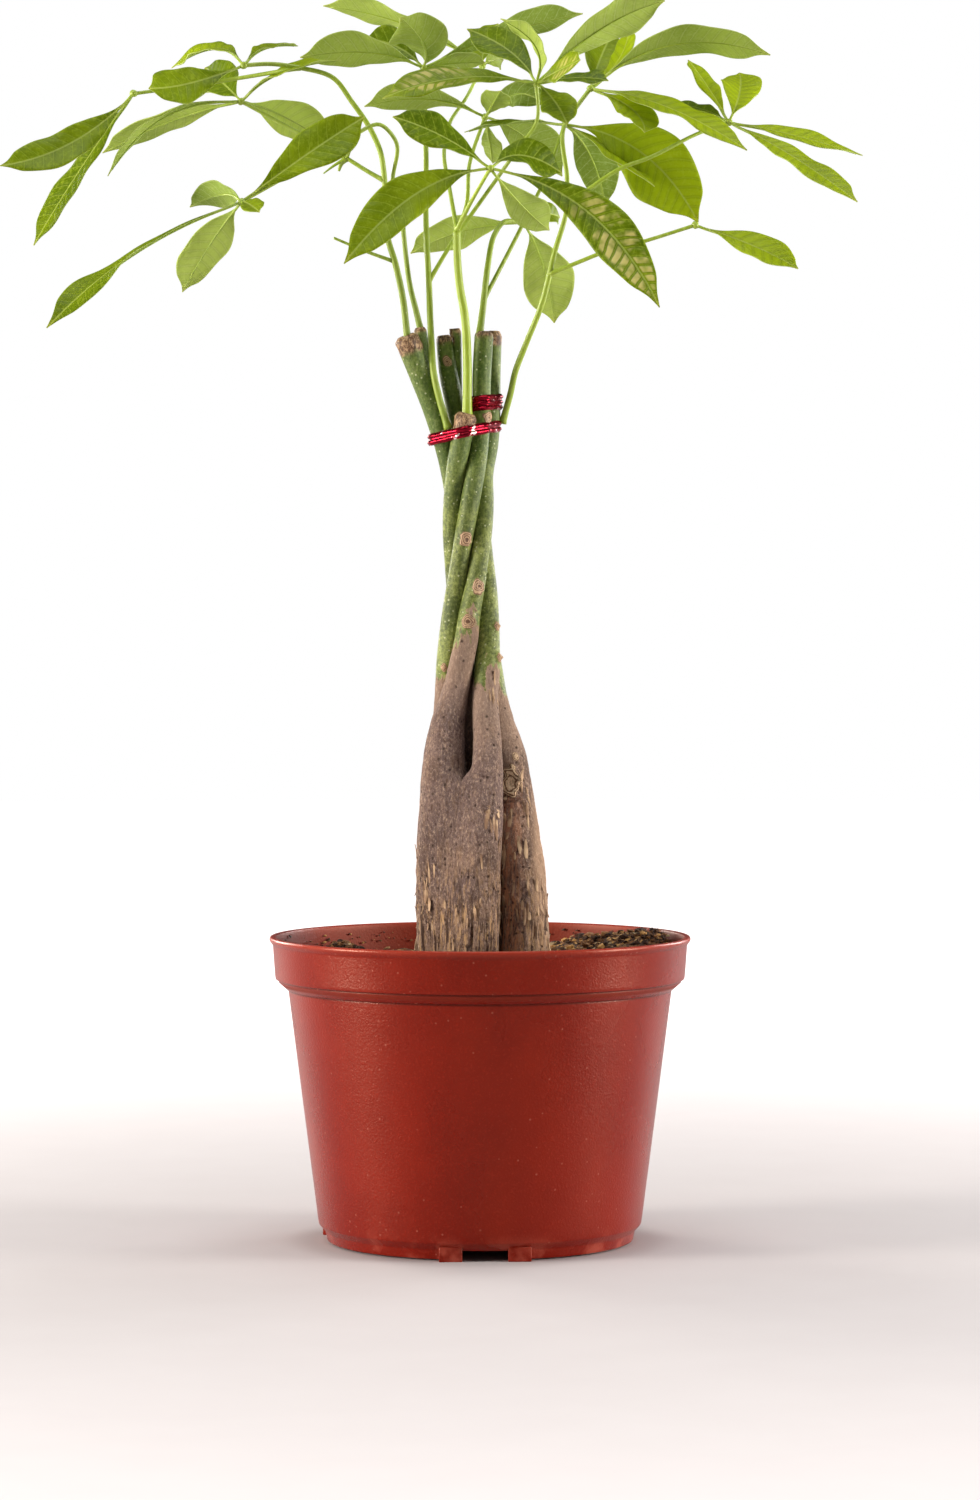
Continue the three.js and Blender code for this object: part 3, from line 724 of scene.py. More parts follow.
# %% The scattered crumbs
bank, heap = bank_sites(), heap_sites()
crumbs = scatter("soil_crumbs", 1, 0.8, soil_sites(IN_SOIL, 0.7, 2.2) + bank + heap)
lumps = scatter("soil_lumps", 2, 0.85, clump_sites() + soil_sites(160, 2.6, 5.2, 0.4))
chips = scatter("soil_chips", 1, 0.28, soil_sites(240, 1.4, 4.4, 0.1))
fibres = scatter("soil_fibres", 1, 1.0, soil_sites(260, 2.0, 5.5), (0.12, 1.0, 0.12))
wall_grains = scatter("soil_wall_grains", 1, 0.8, wall_sites())
for piece in (crumbs, lumps, chips, fibres, wall_grains):
    print(piece.name, "has", len(piece.data.polygons), "faces")

# %% [markdown]
# Potting mix is dark brown peat with tan fibre and husk in it. Each crumb carries one random number, and
# the material turns it into one of those colours, so no two neighbours match. The body beneath gets the
# same colours from cell noise.


# %% The soil's materials
def soil_material(name, shade_from):
    """Damp potting mix. The shade of a crumb comes from its own number or from cells of noise."""
    material, tree, shader, place = new_material(name)
    if shade_from:
        shade = attributes(tree, shade_from)[0]
    else:
        cells = add(tree, "ShaderNodeTexVoronoi", Vector=place, Scale=700.0).outputs["Color"]
        shade = add(tree, "ShaderNodeSeparateColor", Color=cells).outputs[0]
    fine = grain(place, 900, 5, 0.65)
    brown = mix(ramp(fine, 0.35, 0.65), paint(36, 22, 14), paint(84, 52, 32))
    brown = mix(ramp(shade, 0.4, 0.8), brown, paint(134, 90, 48))
    brown = mix(ramp(shade, 0.84, 0.92), brown, paint(196, 148, 84))
    brown = mix(ramp(shade, 0.03, 0.0), brown, paint(206, 178, 134))
    feed(shader, Base_Color=brown, Roughness=ramp(fine, 0.3, 0.7, 0.95, 0.75))
    feed(shader, Normal=relief(fine, 0.7, 0.0006))
    return material


soil_bed = soil_material("soil_bed", None)
soil_crumb = soil_material("soil_crumb", "shade")
husk, tree, shader, place = new_material("soil_husk")
shade = attributes(tree, "shade")[0]
fibre = grain(place, 500, 4, 0.6, (1, 4, 1))
tan = mix(ramp(shade, 0.0, 1.0), paint(92, 58, 34), paint(184, 136, 86))
tan = mix(ramp(fibre, 0.4, 0.65), tan, paint(66, 42, 26))
feed(shader, Base_Color=tan, Roughness=0.85, Normal=relief(fibre, 0.5, 0.0004))
dress(soil, "soil", ["soil"], soil_bed)
for piece in (crumbs, lumps):
    dress(piece, "soil", ["soil"], soil_crumb)
for piece in (chips, fibres):
    dress(piece, "soil", ["soil"], husk)
dress(wall_grains, "soil", ["soil"], soil_crumb)

# %% [markdown]
# Each stem is a living rod: thick, corky and grey-brown at the soil, thin and green above the plait. The
# routes are the CAD model's own: a bearing round the plait, a turn that grows with height, and a distance
# from the plait's axis that shrinks with it.

# %% The stems' routes
HOLE_FLOOR, SOIL_LINE, EASED_FROM, PLAIT_TOP = 78, 114, 165, 300
TURN = [(114, 0), (145, 7), (212, 44), (247, 79), (284, 151), (323, 223)]
PLAIT = [(147, 16.3), (188, 13.7), (214, 9.3), (242, 7.5), (263, 6.2), (277, 6.5), (300, 6.8)]
UPPER_GIRTH = [(242, 4.1), (263, 3.3), (300, 3.5)]
LEAN = [(114, 0.6), (147, 0), (179, -1.8), (196, -3.2), (212, -3.8), (249, -3.7), (300, -5.2)]
STEMS = {
    "trunk_front_left": dict(
        bearing=-169, reach=15.8, woody_to=236, peel=5.5,
        lag=[(147, 0), (188, 10), (202, 14), (215, 7), (235, 0)],
        girth=[(78, 9.3), (114, 9.9), (147, 9.7), (188, 8.5), (214, 5.2)],
        top=[(3.4, 3.4, 312, 3.4), (4.4, 4.0, 323, 3.2), (4.8, 4.2, 340, 3.0), (5.4, 4.4, 355.8, 2.9)],
    ),
    "trunk_front": dict(
        bearing=-97, reach=16.4, woody_to=222, peel=3,
        girth=[(78, 8.2), (114, 8.7), (147, 7.8), (188, 5.9), (214, 5.0)],
        top=[(-7.0, 6.5, 312, 3.5), (-9.0, 6.0, 323, 3.4), (-12.6, 4.5, 341, 3.4), (-14.2, 4.0, 354.2, 2.8)],
        fork=[(-8.0, 6.2, 316, 1.3), (-8.8, 6.0, 332, 1.6), (-9.2, 5.6, 357, 1.6)],
    ),
    "trunk_right": dict(
        bearing=-25, reach=18.4, woody_to=215, peel=6.5,
        girth=[(78, 9.0), (114, 9.6), (147, 9.2), (188, 7.5), (214, 5.1)],
        top=[(-14, 0.5, 312, 3.7), (-18.5, -2, 326, 3.9), (-24, -4, 341, 4.3), (-28.9, -6, 353.4, 4.5)],
        fork=[(-15, 0.2, 315, 1.8), (-20.2, 1.6, 334, 2.2), (-23.5, 1.8, 357, 2.2)],
    ),
    "trunk_back_right": dict(
        bearing=50, reach=17, woody_to=222, peel=7,
        girth=[(78, 8.2), (114, 8.7), (147, 8.4), (188, 7.0), (214, 5.0)],
        top=[(-7.5, -7.0, 312, 3.7), (-5.1, -7.7, 323.3, 4.1)],
    ),
    "trunk_back_left": dict(
        bearing=119, reach=17, woody_to=222, peel=2.2,
        lag=[(147, 0), (188, 7), (202, 8), (215, 4), (235, 0)],
        girth=[(78, 8.2), (114, 8.7), (147, 8.4), (188, 6.4), (214, 4.8)],
        top=[(-0.3, -3.0, 312, 3.4), (0.4, -1.8, 323, 3.3), (0.6, -1.6, 338, 3.3), (1.6, -1.4, 355.4, 3.3)],
    ),
}


# %% From the tables to a route
def at(table, height):
    """The value of a table of heights and values at a height. No table gives 0."""
    heights, values = zip(*(table or [(0, 0)]))
    return float(np.interp(height, heights, values))


def girth(stem, height):
    return at(stem["girth"] + UPPER_GIRTH, height)


def plait_row(stem, height):
    """The centre and radius of a stem at a height inside the plait."""
    angle = math.radians(stem["bearing"] + at(TURN, height) - at(stem.get("lag"), height))
    eased = float(smoothstep(height, SOIL_LINE, EASED_FROM))
    reach = stem["reach"] + (at(PLAIT, height) - stem["reach"]) * eased
    x, y = polar(reach, angle)
    return at(LEAN, height) + x, y, height, girth(stem, height)


def stem_rows(stem, step=11):
    """Rows of x, y, z, radius from the bottom of the hole to the cut top."""
    foot = plait_row(stem, SOIL_LINE)
    rows = [(foot[0], foot[1], HOLE_FLOOR, girth(stem, HOLE_FLOOR))]
    levels = round((PLAIT_TOP - SOIL_LINE) / step)
    rows += [plait_row(stem, SOIL_LINE + (PLAIT_TOP - SOIL_LINE) * i / levels) for i in range(levels + 1)]
    return rows + list(stem["top"])


def run_of(points):
    """How far along a route each of its points is."""
    return np.concatenate([[0], np.cumsum(np.linalg.norm(np.diff(points, axis=0), axis=1))])


def smooth_rows(rows, spacing):
    """The same route with rows closer together, on a curve that eases through every row."""
    rows = np.array(rows, float)
    run = run_of(rows[:, :3])
    slopes = np.gradient(rows, run, axis=0)
    made = []
    for i, length in enumerate(np.diff(run)):
        count = max(2, round(length / spacing))
        t = (np.arange(count) / count)[:, None]
        made.append(
            (2 * t**3 - 3 * t**2 + 1) * rows[i] + (t**3 - 2 * t**2 + t) * length * slopes[i]
            + (3 * t**2 - 2 * t**3) * rows[i + 1] + (t**3 - t**2) * length * slopes[i + 1]
        )
    return np.concatenate([*made, rows[-1:]])


for name, stem in STEMS.items():
    print(name, "route of", len(stem_rows(stem)), "rows, top at", stem["top"][-1][2], "mm")

# %% [markdown]
# A stem is drawn as a curve with a round bevel whose radius follows each point, and then turned into a
# mesh. A curve keeps the tube from twisting along its route, which a loft by hand would have to work out.


# %% From a route to a tube
def tube(name, routes, sides):
    """A mesh of round rods, one for each route of x, y, z, radius rows."""
    clear_selection()
    bpy.ops.curve.primitive_nurbs_path_add(location=(0, 0, 0))
    piece = bpy.context.object
    piece.name = name
    curve = piece.data
    curve.splines.clear()
    for route in routes:
        spline = curve.splines.new("POLY")
        spline.points.add(len(route) - 1)
        for point, (x, y, z, radius) in zip(spline.points, route):
            point.co = (x * MM, y * MM, z * MM, 1)
            point.radius = radius
    curve.twist_mode = "MINIMUM"
    curve.use_fill_caps = True
    curve.bevel_depth, curve.bevel_resolution = MM, sides // 2 - 2
    take(piece)
    bpy.ops.object.convert(target="MESH")
    return clean_faces(bpy.context.object, merge=0.002)


# %% [markdown]
# The two stems at the front left have stood pressed together for so long that they have grown into one:
# below 180 mm there is no groove between them. Where a point of one stem faces the other, it is pushed
# out to the straight line that touches both, as a rubber band round the pair would lie.

# %% Stems that have grown together
GROWN_TOGETHER = {"trunk_front_left": "trunk_front", "trunk_front": "trunk_front_left"}
FUSED_TO = 184
OVERLAP = 3


def level_with(points, rows):
    """The centre and radius of a stem at the height of each point."""
    x, y, radius = (np.interp(points[:, 2], rows[:, 2], rows[:, k]) for k in (0, 1, 3))
    return np.column_stack([x, y]), radius


def fuse(points, rows, other):
    """Fills the groove between a stem and its neighbour on the viewer's side."""
    centre, radius = level_with(points, rows)
    beside, radius_beside = level_with(points, other)
    towards = beside - centre
    span = np.linalg.norm(towards, axis=1)
    ahead = towards / span[:, None]
    left = np.column_stack([-ahead[:, 1], ahead[:, 0]])
    left *= np.where(left[:, 1] > 0, -1, 1)[:, None]
    lean = (radius - radius_beside) / span
    touch = ahead * lean[:, None] + left * np.sqrt(1 - lean**2)[:, None]
    line = ahead * np.sqrt(1 - lean**2)[:, None] - left * lean[:, None]
    out = points[:, :2] - centre
    away = np.linalg.norm(out, axis=1)
    out = out / away[:, None]
    cosine, sine = (out * touch).sum(axis=1), (out * line).sum(axis=1)
    half = np.sqrt(span**2 - (radius - radius_beside) ** 2) / 2
    to_line = np.where(cosine > 0.02, radius / np.maximum(cosine, 0.02), 1e3)
    to_middle = np.where(sine > 0.02, (half + OVERLAP) / np.maximum(sine, 0.02), 1e3)
    filled = np.minimum(to_line, to_middle)
    facing = (sine > 0) & (cosine > -0.5)
    past = np.clip(sine * filled - half, 0, OVERLAP)
    valley = 0.45 * np.exp(-(((sine * filled - half) / 3.0) ** 2)) + 0.3 * past**2
    wanted = np.where(facing, np.maximum(away, filled - valley), away)
    share = smoothstep(points[:, 2], FUSED_TO + 3, FUSED_TO - 5)
    points[:, :2] += out * ((wanted - away) * share)[:, None]
    return points


# %% [markdown]
# Bark and green skin differ in relief as well as in colour. Below, corky bark has upright fibres and
# cracks that deepen towards the soil. Above, the skin is smooth with slow swellings. Old leaf and branch
# scars are small rings with a sunken middle. Each is placed where the photograph shows it, on the side of
# its stem that faces the viewer.

# %% Relief of bark, scars and nubs
SCARS = [
    # stem, x and z as seen from the front, radius, height of its ring
    ("trunk_front_left", -5.0, 242.7, 2.6, 0.5), ("trunk_front_left", 0.4, 256.0, 2.4, 0.8),
    ("trunk_back_left", -5.0, 274.2, 2.4, 0.7), ("trunk_right", 11.4, 180.4, 5.6, 1.2),
    ("trunk_front", -12.8, 343.5, 1.7, 0.5),
    ("trunk_back_left", 7.2, 322.5, 2.2, 0.7),
]
WRINKLES = [
    # stem, x, z, half width, depth
    ("trunk_front_left", -12.5, 197.5, 6.5, 0.5), ("trunk_front_left", -10.5, 190.5, 3.5, 0.4),
    ("trunk_front", 0.6, 183.5, 5.0, 0.5), ("trunk_front_left", 3.0, 262.5, 4.5, 0.35),
    ("trunk_front", 2.4, 171.0, 4.5, 0.6), ("trunk_right", 13.5, 174.0, 5.5, 0.8),
]
NUBS = [
    # stem, x, z, radius, height
    ("trunk_front", 7.4, 240.8, 1.2, 1.8), ("trunk_front", 7.6, 228.4, 1.2, 2.1),
    ("trunk_right", 7.8, 240.0, 1.1, 1.4), ("trunk_right", 7.8, 228.0, 1.1, 1.6),
    ("trunk_back_left", -14.6, 224.6, 1.1, 1.4), ("trunk_back_right", -14.6, 224.6, 1.1, 1.4),
    ("trunk_right", 14.4, 190.0, 1.2, 0.9), ("trunk_right", 15.8, 180.5, 1.2, 0.8),
]


# %% Carving the relief
def nearest_front(points, x, z):
    """The point of a stem that the viewer sees at x, z."""
    off = np.hypot(points[:, 0] - x, points[:, 2] - z)
    close = np.where(off < off.min() + 0.7)[0]
    return points[close[np.argmin(points[close, 1])]]


def marks_of(name, table, points):
    """For each mark on this stem: how far every point is from it, and the mark's last two numbers."""
    for who, x, z, radius, rise in table:
        if who == name:
            spot = nearest_front(points, x, z)
            yield points - spot, radius, rise


def carve(piece, name, stem):
    """Gives a stem its relief, and masks for scars, cut ends and how far its bark reaches."""
    points = corners(piece)
    if name in GROWN_TOGETHER:
        other = np.array(stem_rows(STEMS[GROWN_TOGETHER[name]]))
        points = fuse(points, np.array(stem_rows(stem)), other)
        set_corners(piece, points)
    normals = normals_of(piece)
    height = points[:, 2]
    woody = smoothstep(height, stem["woody_to"] + 4, stem["woody_to"] - 12)
    base = smoothstep(height, 176, 122)
    fibre = 1 - np.abs(spots(points, (2.2, 2.2, 17), 4.1)) * 3.2
    crack = 1 - np.abs(spots(points, (3.8, 3.8, 30), 9.7)) * 6
    lumps = spots(points, (11, 11, 16), 1.3) + 0.45 * spots(points, 4.2, 5.9)
    swell = spots(points, (7, 7, 26), 2.9)
    raised = woody * (0.45 * lumps + base * (0.42 * fibre - 0.8 * np.clip(crack, 0, 1) ** 2))
    raised += (1 - woody) * (0.3 + 0.22 * swell)
    scar = np.zeros(len(points))
    for offset, radius, rise in marks_of(name, SCARS, points):
        stretch = (1.5, 1, 0.85) if radius > 4 else (1, 1, 0.85)
        away = np.linalg.norm(offset * stretch, axis=1) * (1 + 0.5 * spots(points, 2.2, radius)) / radius
        ring = np.exp(-(((away - 0.72) / 0.2) ** 2)) + 0.6 * np.exp(-(((away - 0.3) / 0.12) ** 2))
        raised += rise * ring
        scar = np.maximum(scar, np.clip(1.15 - away, 0, 0.8 if radius > 4 else 1))
    for offset, reach, depth in marks_of(name, WRINKLES, points):
        bow = offset[:, 2] + 0.06 * offset[:, 0] ** 2 + 0.5 * spots(points, 3, reach)
        beside = np.hypot(offset[:, 0], offset[:, 1]) / reach
        near = np.exp(-(beside**4)) * np.exp(-((offset[:, 2] / 4) ** 2))
        raised += depth * near * np.cos(bow * 2.6) * np.exp(-((bow / 2.6) ** 2))
    for offset, radius, rise in marks_of(name, NUBS, points):
        bump = np.exp(-((np.linalg.norm(offset, axis=1) / radius) ** 2))
        raised += rise * bump
        scar = np.maximum(scar, 0.6 * smoothstep(bump, 0.15, 0.5))
    points += normals * raised[:, None]
    cut, points = sawn_ends(points, stem)
    set_corners(piece, points)
    # Painted light on the right trunk: its lower front is marked as lit, and its right edge as a pale lit
    # band.
    painted_light_share = smoothstep(points[:, 0], 19, 12) * smoothstep(height, 184, 168) - smoothstep(points[:, 0], 18, 23)
    warm = painted_light_share * (name == "trunk_right")
    set_masks(piece, scar=scar, above_bark=height - stem["woody_to"], cut=cut, warm=warm)
    return smooth_shade(piece, 50)


def sawn_ends(points, stem):
    """A mask for the brown collar under each sawn top, and the points with the top's edge rounded."""
    mask = np.zeros(len(points))
    for end, collar in ((stem["top"][-2:], stem["peel"]), (stem.get("fork", [])[-2:], 1.8)):
        if not len(end):
            continue
        low, high = np.array(end[0][:3]), np.array(end[1][:3])
        radius = end[1][3]
        along = (high - low) / np.linalg.norm(high - low)
        behind = (points - high) @ along
        inside = points - high - behind[:, None] * along
        near = (np.linalg.norm(inside, axis=1) < radius * 1.5) & (behind > -collar - 4)
        ragged = behind + 1.3 * spots(points, 2.1, 3.3)
        mask = np.maximum(mask, near * smoothstep(ragged, -collar - 0.8, -collar + 0.8))
        rounding = np.clip(1 + behind / 1.6, 0, 1) ** 2 * near
        lumps = 0.45 * spots(points, 1.5, 6.1) * near * smoothstep(ragged, -collar, 0)
        points = points - inside * (0.3 * rounding - lumps / radius)[:, None]
    return mask, points


# %% The five stems
ROW_SPACING = 1.0
STEM_SIDES, FORK_SIDES = 64, 24
stem_pieces = {}
for name, stem in STEMS.items():
    parts = [tube(name + "_wood", [smooth_rows(stem_rows(stem), ROW_SPACING)], STEM_SIDES)]
    if "fork" in stem:
        parts.append(tube("fork", [smooth_rows(stem["fork"], ROW_SPACING)], FORK_SIDES))
    stem_pieces[name] = carve(join_as(name + "_wood", parts), name, stem)
    print(name, "has", len(stem_pieces[name].data.vertices), "points")

# %% [markdown]
# Near the soil the cork comes off in small curled strips. One strip is modelled from a grid, curled and
# given a thickness, and copies of it are set on the bark, each along its stem and lifted at one end.

# %% Curling strips of cork
CORK = random.Random(11)
CORK_SUNK, CORK_THICKNESS = 0.15, 0.28
clear_selection()
bpy.ops.mesh.primitive_grid_add(x_subdivisions=3, y_subdivisions=7, size=1)
strip, strip_faces = taken_apart(bpy.context.object)
u, v = strip[:, 0], strip[:, 1] + 0.5
across = u * (0.35 + 0.65 * np.sin(np.pi * np.clip(v * 0.9 + 0.1, 0, 1))) * (1 - 0.15 * v)
curl = 0.08 * (1 - 4 * across * across) + 0.34 * v**2.4
strip = np.column_stack([across, v, curl])


def cork_strips(name, sites):
    """Copies of the strip at sites of place, normal, width, length, lift and end, as one mesh."""
    shapes = []
    for place, normal, width, length, lift, flip in sites:
        up = np.array([0.12 * CORK.uniform(-1, 1), 0, flip])
        up = up - normal * (up @ normal)
        up /= np.linalg.norm(up)
        side = np.cross(up, normal)
        axes = np.array([width * side, length * up, lift * normal])
        shapes.append(place - normal * CORK_SUNK + strip @ axes)
    piece = copies(name, shapes, strip_faces)
    thicken(piece, CORK_THICKNESS)
    return apply_modifiers(piece)


def sites_on(piece, count, low, high, spot=None, spread=3.0, size=1.0):
    """Random places on a stem's bark between two heights, or round a spot."""
    points = corners(piece)
    normals = normals_of(piece)
    fits = (points[:, 2] > low) & (points[:, 2] < high)
    if spot:
        front = nearest_front(points, *spot)
        fits &= np.linalg.norm((points - front) * (1, 1, 0.6), axis=1) < spread
    sites = []
    for i in [CORK.choice(np.where(fits)[0]) for _ in range(count)]:
        width, length, lift = (CORK.uniform(*span) for span in ((0.5, 1.4), (2.0, 6.0), (1.0, 2.6)))
        sites.append((points[i], normals[i], size * width, size * length, lift, CORK.choice((-1, 1))))
    return sites


# %% The places where cork peels
PEELING = [
    # stem, how many strips, lowest, highest, then x and z of a spot, how far from it, and their size
    ("trunk_front", 8, 150, 200, (5.0, 168), 4.5, 1.5), ("trunk_front", 5, 150, 220, (6.0, 214), 3.0),
    ("trunk_right", 16, 140, 200, (12.0, 170), 8, 1.4), ("trunk_right", 12, 120, 160, (15.0, 140), 9, 1.3),
    ("trunk_front_left", 9, 120, 160, (-22.5, 141), 6.0, 1.4),
]
strips = []
for piece in stem_pieces.values():
    strips += sites_on(piece, 26, 113, 136) + sites_on(piece, 9, 136, 156)
for name, *where in PEELING:
    strips += sites_on(stem_pieces[name], *where)
cork = cork_strips("cork_strips", strips)
print("cork strips:", len(strips))

# %% [markdown]
# One material covers a stem from soil to tip. Bark and green skin are two sets of colours, and the height
# above the end of the bark, broken up with noise, decides between them, so the border is ragged like
# peeling cork. Pores, pale specks, cracks and scars are laid over that.

# %% Bark and green skin
stem_skin, tree, shader, place = new_material("stem_skin")
scar, cut, warm, above = attributes(tree, "scar", "cut", "warm", "above_bark")
height = add(tree, "ShaderNodeSeparateXYZ", Vector=place).outputs["Z"]
patches = grain(place, 120, 5, 0.62, (1, 1, 0.4))
lifted = plus(above, times(minus(patches, 0.5), 60))
green_share = ramp(lifted, -0.5, 0.5)
near_soil = ramp(height, 0.158, 0.118)

mottle = grain(place, 120, 5, 0.65, (1, 1, 0.6))
fine = grain(place, 1250, 5, 0.78, (1, 1, 0.55))
streak = grain(place, 760, 5, 0.72, (1, 1, 0.16))
wide_streak = grain(place, 300, 4, 0.6, (1, 1, 0.2))
crack = grain(place, 420, 5, 0.7, (1, 1, 0.10))
cloudy = grain(place, 28, 3, 0.5)
bark = mix(ramp(mottle, 0.34, 0.66), paint(104, 82, 73), paint(154, 125, 107))
purple = times(ramp(cloudy, 0.42, 0.58), ramp(near_soil, 0.85, 0.4), 0.5)
bark = mix(purple, bark, paint(128, 108, 106))
bark = mix(ramp(fine, 0.52, 0.64, 0, 0.7), bark, paint(214, 184, 160))
bark = mix(ramp(fine, 0.48, 0.38, 0, 0.8), bark, paint(84, 58, 48))
fibres = times(ramp(streak, 0.5, 0.58), ramp(wide_streak, 0.4, 0.55, 0.45, 1.1))
fibres = times(fibres, plus(0.1, times(near_soil, 0.7)))
bark = mix(fibres, bark, paint(210, 168, 120))
under_green = ramp(above, -40, -6, 0, 0.45)
bark = mix(under_green, bark, paint(190, 160, 136))
# Painted light: warm lit streaks low on the right trunk, and a pale lit band along its right edge.
bark = mix(times(warm, ramp(streak, 0.35, 0.6), 0.7), bark, paint(204, 138, 102))
bark = mix(ramp(warm, 0.0, -1.0, 0, 0.5), bark, paint(206, 168, 134))
dark_crack = times(ramp(crack, 0.46, 0.40), plus(0.15, times(near_soil, 0.85)))
bark = mix(dark_crack, bark, paint(70, 48, 36))
pores = use(specks, Place=place, Scale=430.0, Size=0.3, Share=0.3)["Mask"]
bark = mix(times(pores, 0.75), bark, paint(62, 44, 36))

# %% The green skin
slow, flecks = grain(place, 90, 4, 0.6), grain(place, 820, 3, 0.65)
green = mix(ramp(slow, 0.3, 0.7), paint(72, 86, 30), paint(138, 148, 70))
green = mix(ramp(flecks, 0.5, 0.38, 0.0, 0.65), green, paint(56, 68, 20))
green = mix(ramp(flecks, 0.54, 0.66, 0.0, 0.55), green, paint(168, 174, 104))
green = mix(ramp(height, 0.26, 0.33, 0.0, 0.55), green, paint(72, 104, 28))
green = mix(ramp(streak, 0.45, 0.7, 0, 0.35), green, paint(150, 160, 98))
green = mix(ramp(fine, 0.5, 0.38, 0, 0.5), green, paint(54, 70, 32))
pale = use(specks, Place=place, Scale=560.0, Size=0.26, Share=0.34)["Mask"]
green = mix(times(pale, 0.75), green, paint(200, 204, 158))

# %% Scars, sawn ends and the relief of both skins
skin = mix(green_share, bark, green)
rim_tan = times(ramp(calc("ABSOLUTE", lifted), 1.5, 0.2), 0.6)
skin = mix(rim_tan, skin, paint(186, 154, 122))
turns = calc("SINE", times(scar, 26))
# Scar rings are pale tan. Below 200 mm, on the big scar of the right trunk and its nubs, the ring is painted
# lighter still: painted light on the flange.
scar_ring_and_painted_light = mix(ramp(height, 0.2, 0.21), paint(228, 196, 160), paint(200, 166, 130))
scar_colour = mix(ramp(turns, -0.7, 0.3), paint(118, 86, 62), scar_ring_and_painted_light)
scar_colour = mix(ramp(scar, 0.85, 0.98), scar_colour, paint(96, 66, 48))
scar_colour = mix(ramp(fine, 0.48, 0.38, 0, 0.6), scar_colour, paint(104, 74, 54))
skin = mix(ramp(scar, 0.08, 0.2), skin, scar_colour)
sawn = mix(ramp(fine, 0.44, 0.58), paint(92, 60, 38), paint(190, 156, 118))
sawn = mix(ramp(crack, 0.5, 0.4, 0, 0.8), sawn, paint(58, 38, 26))
skin = mix(cut, skin, sawn)

rough = ramp(green_share, 0, 1, 0.85, 0.5)
bark_height = plus(fine, times(crack, plus(0.4, near_soil)))
bark_height = minus(bark_height, times(pores, 0.5))
rise = times(bark_height, ramp(green_share, 0, 1, 1.0, 0.15))
feed(shader, Base_Color=skin, Roughness=rough, Normal=relief(rise, 1.0, 0.0013))
feed(shader, Specular_IOR_Level=0.35)
for name, piece in stem_pieces.items():
    dress(piece, "stems", [name], stem_skin)

# %% The peeling cork's skin
cork_skin, tree, shader, place = new_material("cork_skin")
streak = grain(place, 600, 4, 0.7, (1, 1, 0.15))
tan = mix(ramp(grain(place, 160, 3), 0.35, 0.65), paint(150, 118, 92), paint(208, 176, 140))
tan = mix(ramp(streak, 0.5, 0.38, 0, 0.6), tan, paint(112, 82, 60))
feed(shader, Base_Color=tan, Roughness=0.85, Normal=relief(streak, 0.6, 0.0004))
dress(cork, "stems", list(STEMS), cork_skin)

# %% [markdown]
# The tops are held by two twists of garden wire in crimson foil. The foil hugs the outermost stem in every
# direction, like a rubber band, and the wires in it show as bright ridges, two in the lower tie and three
# in the upper one. The route is a closed curve, and a cross-section with those ridges is swept along it.

# %% The foil ties
TIES = {
    "tie_lower": dict(
        height=316.3, tilt=0.2, tall=4.4, thick=1.0, clear=0.45, strands=2, stems=list(STEMS),
    ),
    "tie_upper": dict(
        height=327.8, tilt=0.1, tall=6.0, thick=1.1, clear=0.4, strands=3,
        stems=["trunk_front_left", "trunk_back_left"],
    ),
}
TIE_POINTS = 120


def band_route(tie):
    """Points round the stems that a tight band would touch."""
    discs = []
    for name in tie["stems"]:
        rows = np.array(stem_rows(STEMS[name]))
        discs.append([np.interp(tie["height"], rows[:, 2], rows[:, k]) for k in (0, 1, 3)])
    discs = np.array(discs)
    middle = discs[:, 0].mean()
    route = []
    for i in range(TIE_POINTS):
        angle = math.tau * i / TIE_POINTS
        out = np.array([math.cos(angle), math.sin(angle)])
        disc = discs[np.argmax(discs[:, :2] @ out + discs[:, 2])]
        x, y = disc[:2] + out * (disc[2] + tie["clear"] + tie["thick"] / 2)
        route.append((x, y, tie["height"] + tie["tilt"] * (x - middle)))
    return np.array(route)


def even_loop(route, spacing):
    """A closed route with its points a spacing apart, softened a little."""
    closed = np.vstack([route, route[:1]])
    lengths = run_of(closed)
    count = int(lengths[-1] / spacing)
    where = np.linspace(0, lengths[-1], count, endpoint=False)
    even = np.stack([np.interp(where, lengths, closed[:, k]) for k in range(3)], axis=1)
    for _ in range(3):
        even = (np.roll(even, 1, axis=0) + 2 * even + np.roll(even, -1, axis=0)) / 4
    return even


def band(name, tie):
    """A foil band: each strand is a flat ribbon with a wire ridge along it."""
    route = even_loop(band_route(tie), 0.35)
    rings, strands = [], tie["strands"]
    across = np.linspace(-1, 1, 6 * strands + 1)
    ridges = 0.5 + 0.5 * np.cos(np.pi * (across * strands - (strands + 1) % 2))
    section = [(0.0, -0.5)] + [(0.35 + 0.65 * r, a * 0.5) for a, r in zip(across, ridges)] + [(0.0, 0.5)]
    centre = route.mean(axis=0)
    ahead = np.roll(route, -1, axis=0) - np.roll(route, 1, axis=0)
    out = np.cross(ahead, (0, 0, 1.0))
    out /= np.linalg.norm(out, axis=1)[:, None]
    out *= np.sign((out * (route - centre)).sum(axis=1))[:, None]
    crinkle = spots(route, 2.6, 7.7)
    for proud, up in section:
        creased = crinkle + 0.6 * spots(route + (0, 0, 9 * up), 2.4, 3.1)
        ring = route + out * ((proud - 0.5) * tie["thick"] + 0.25 * proud * creased)[:, None]
        ring[:, 2] += up * tie["tall"] * (1 + 0.12 * spots(route, 4, 1.9))
        rings.append(ring)
    index = np.arange(len(section) * len(route)).reshape(len(section), len(route))
    beyond = np.roll(index, -1, axis=0)
    corner_sets = (index, np.roll(index, -1, axis=1), np.roll(beyond, -1, axis=1), beyond)
    faces = np.stack(corner_sets, axis=-1).reshape(-1, 4).tolist()
    return smooth_shade(clean_faces(piece_from(name, np.concatenate(rings), faces), merge=None), 60)


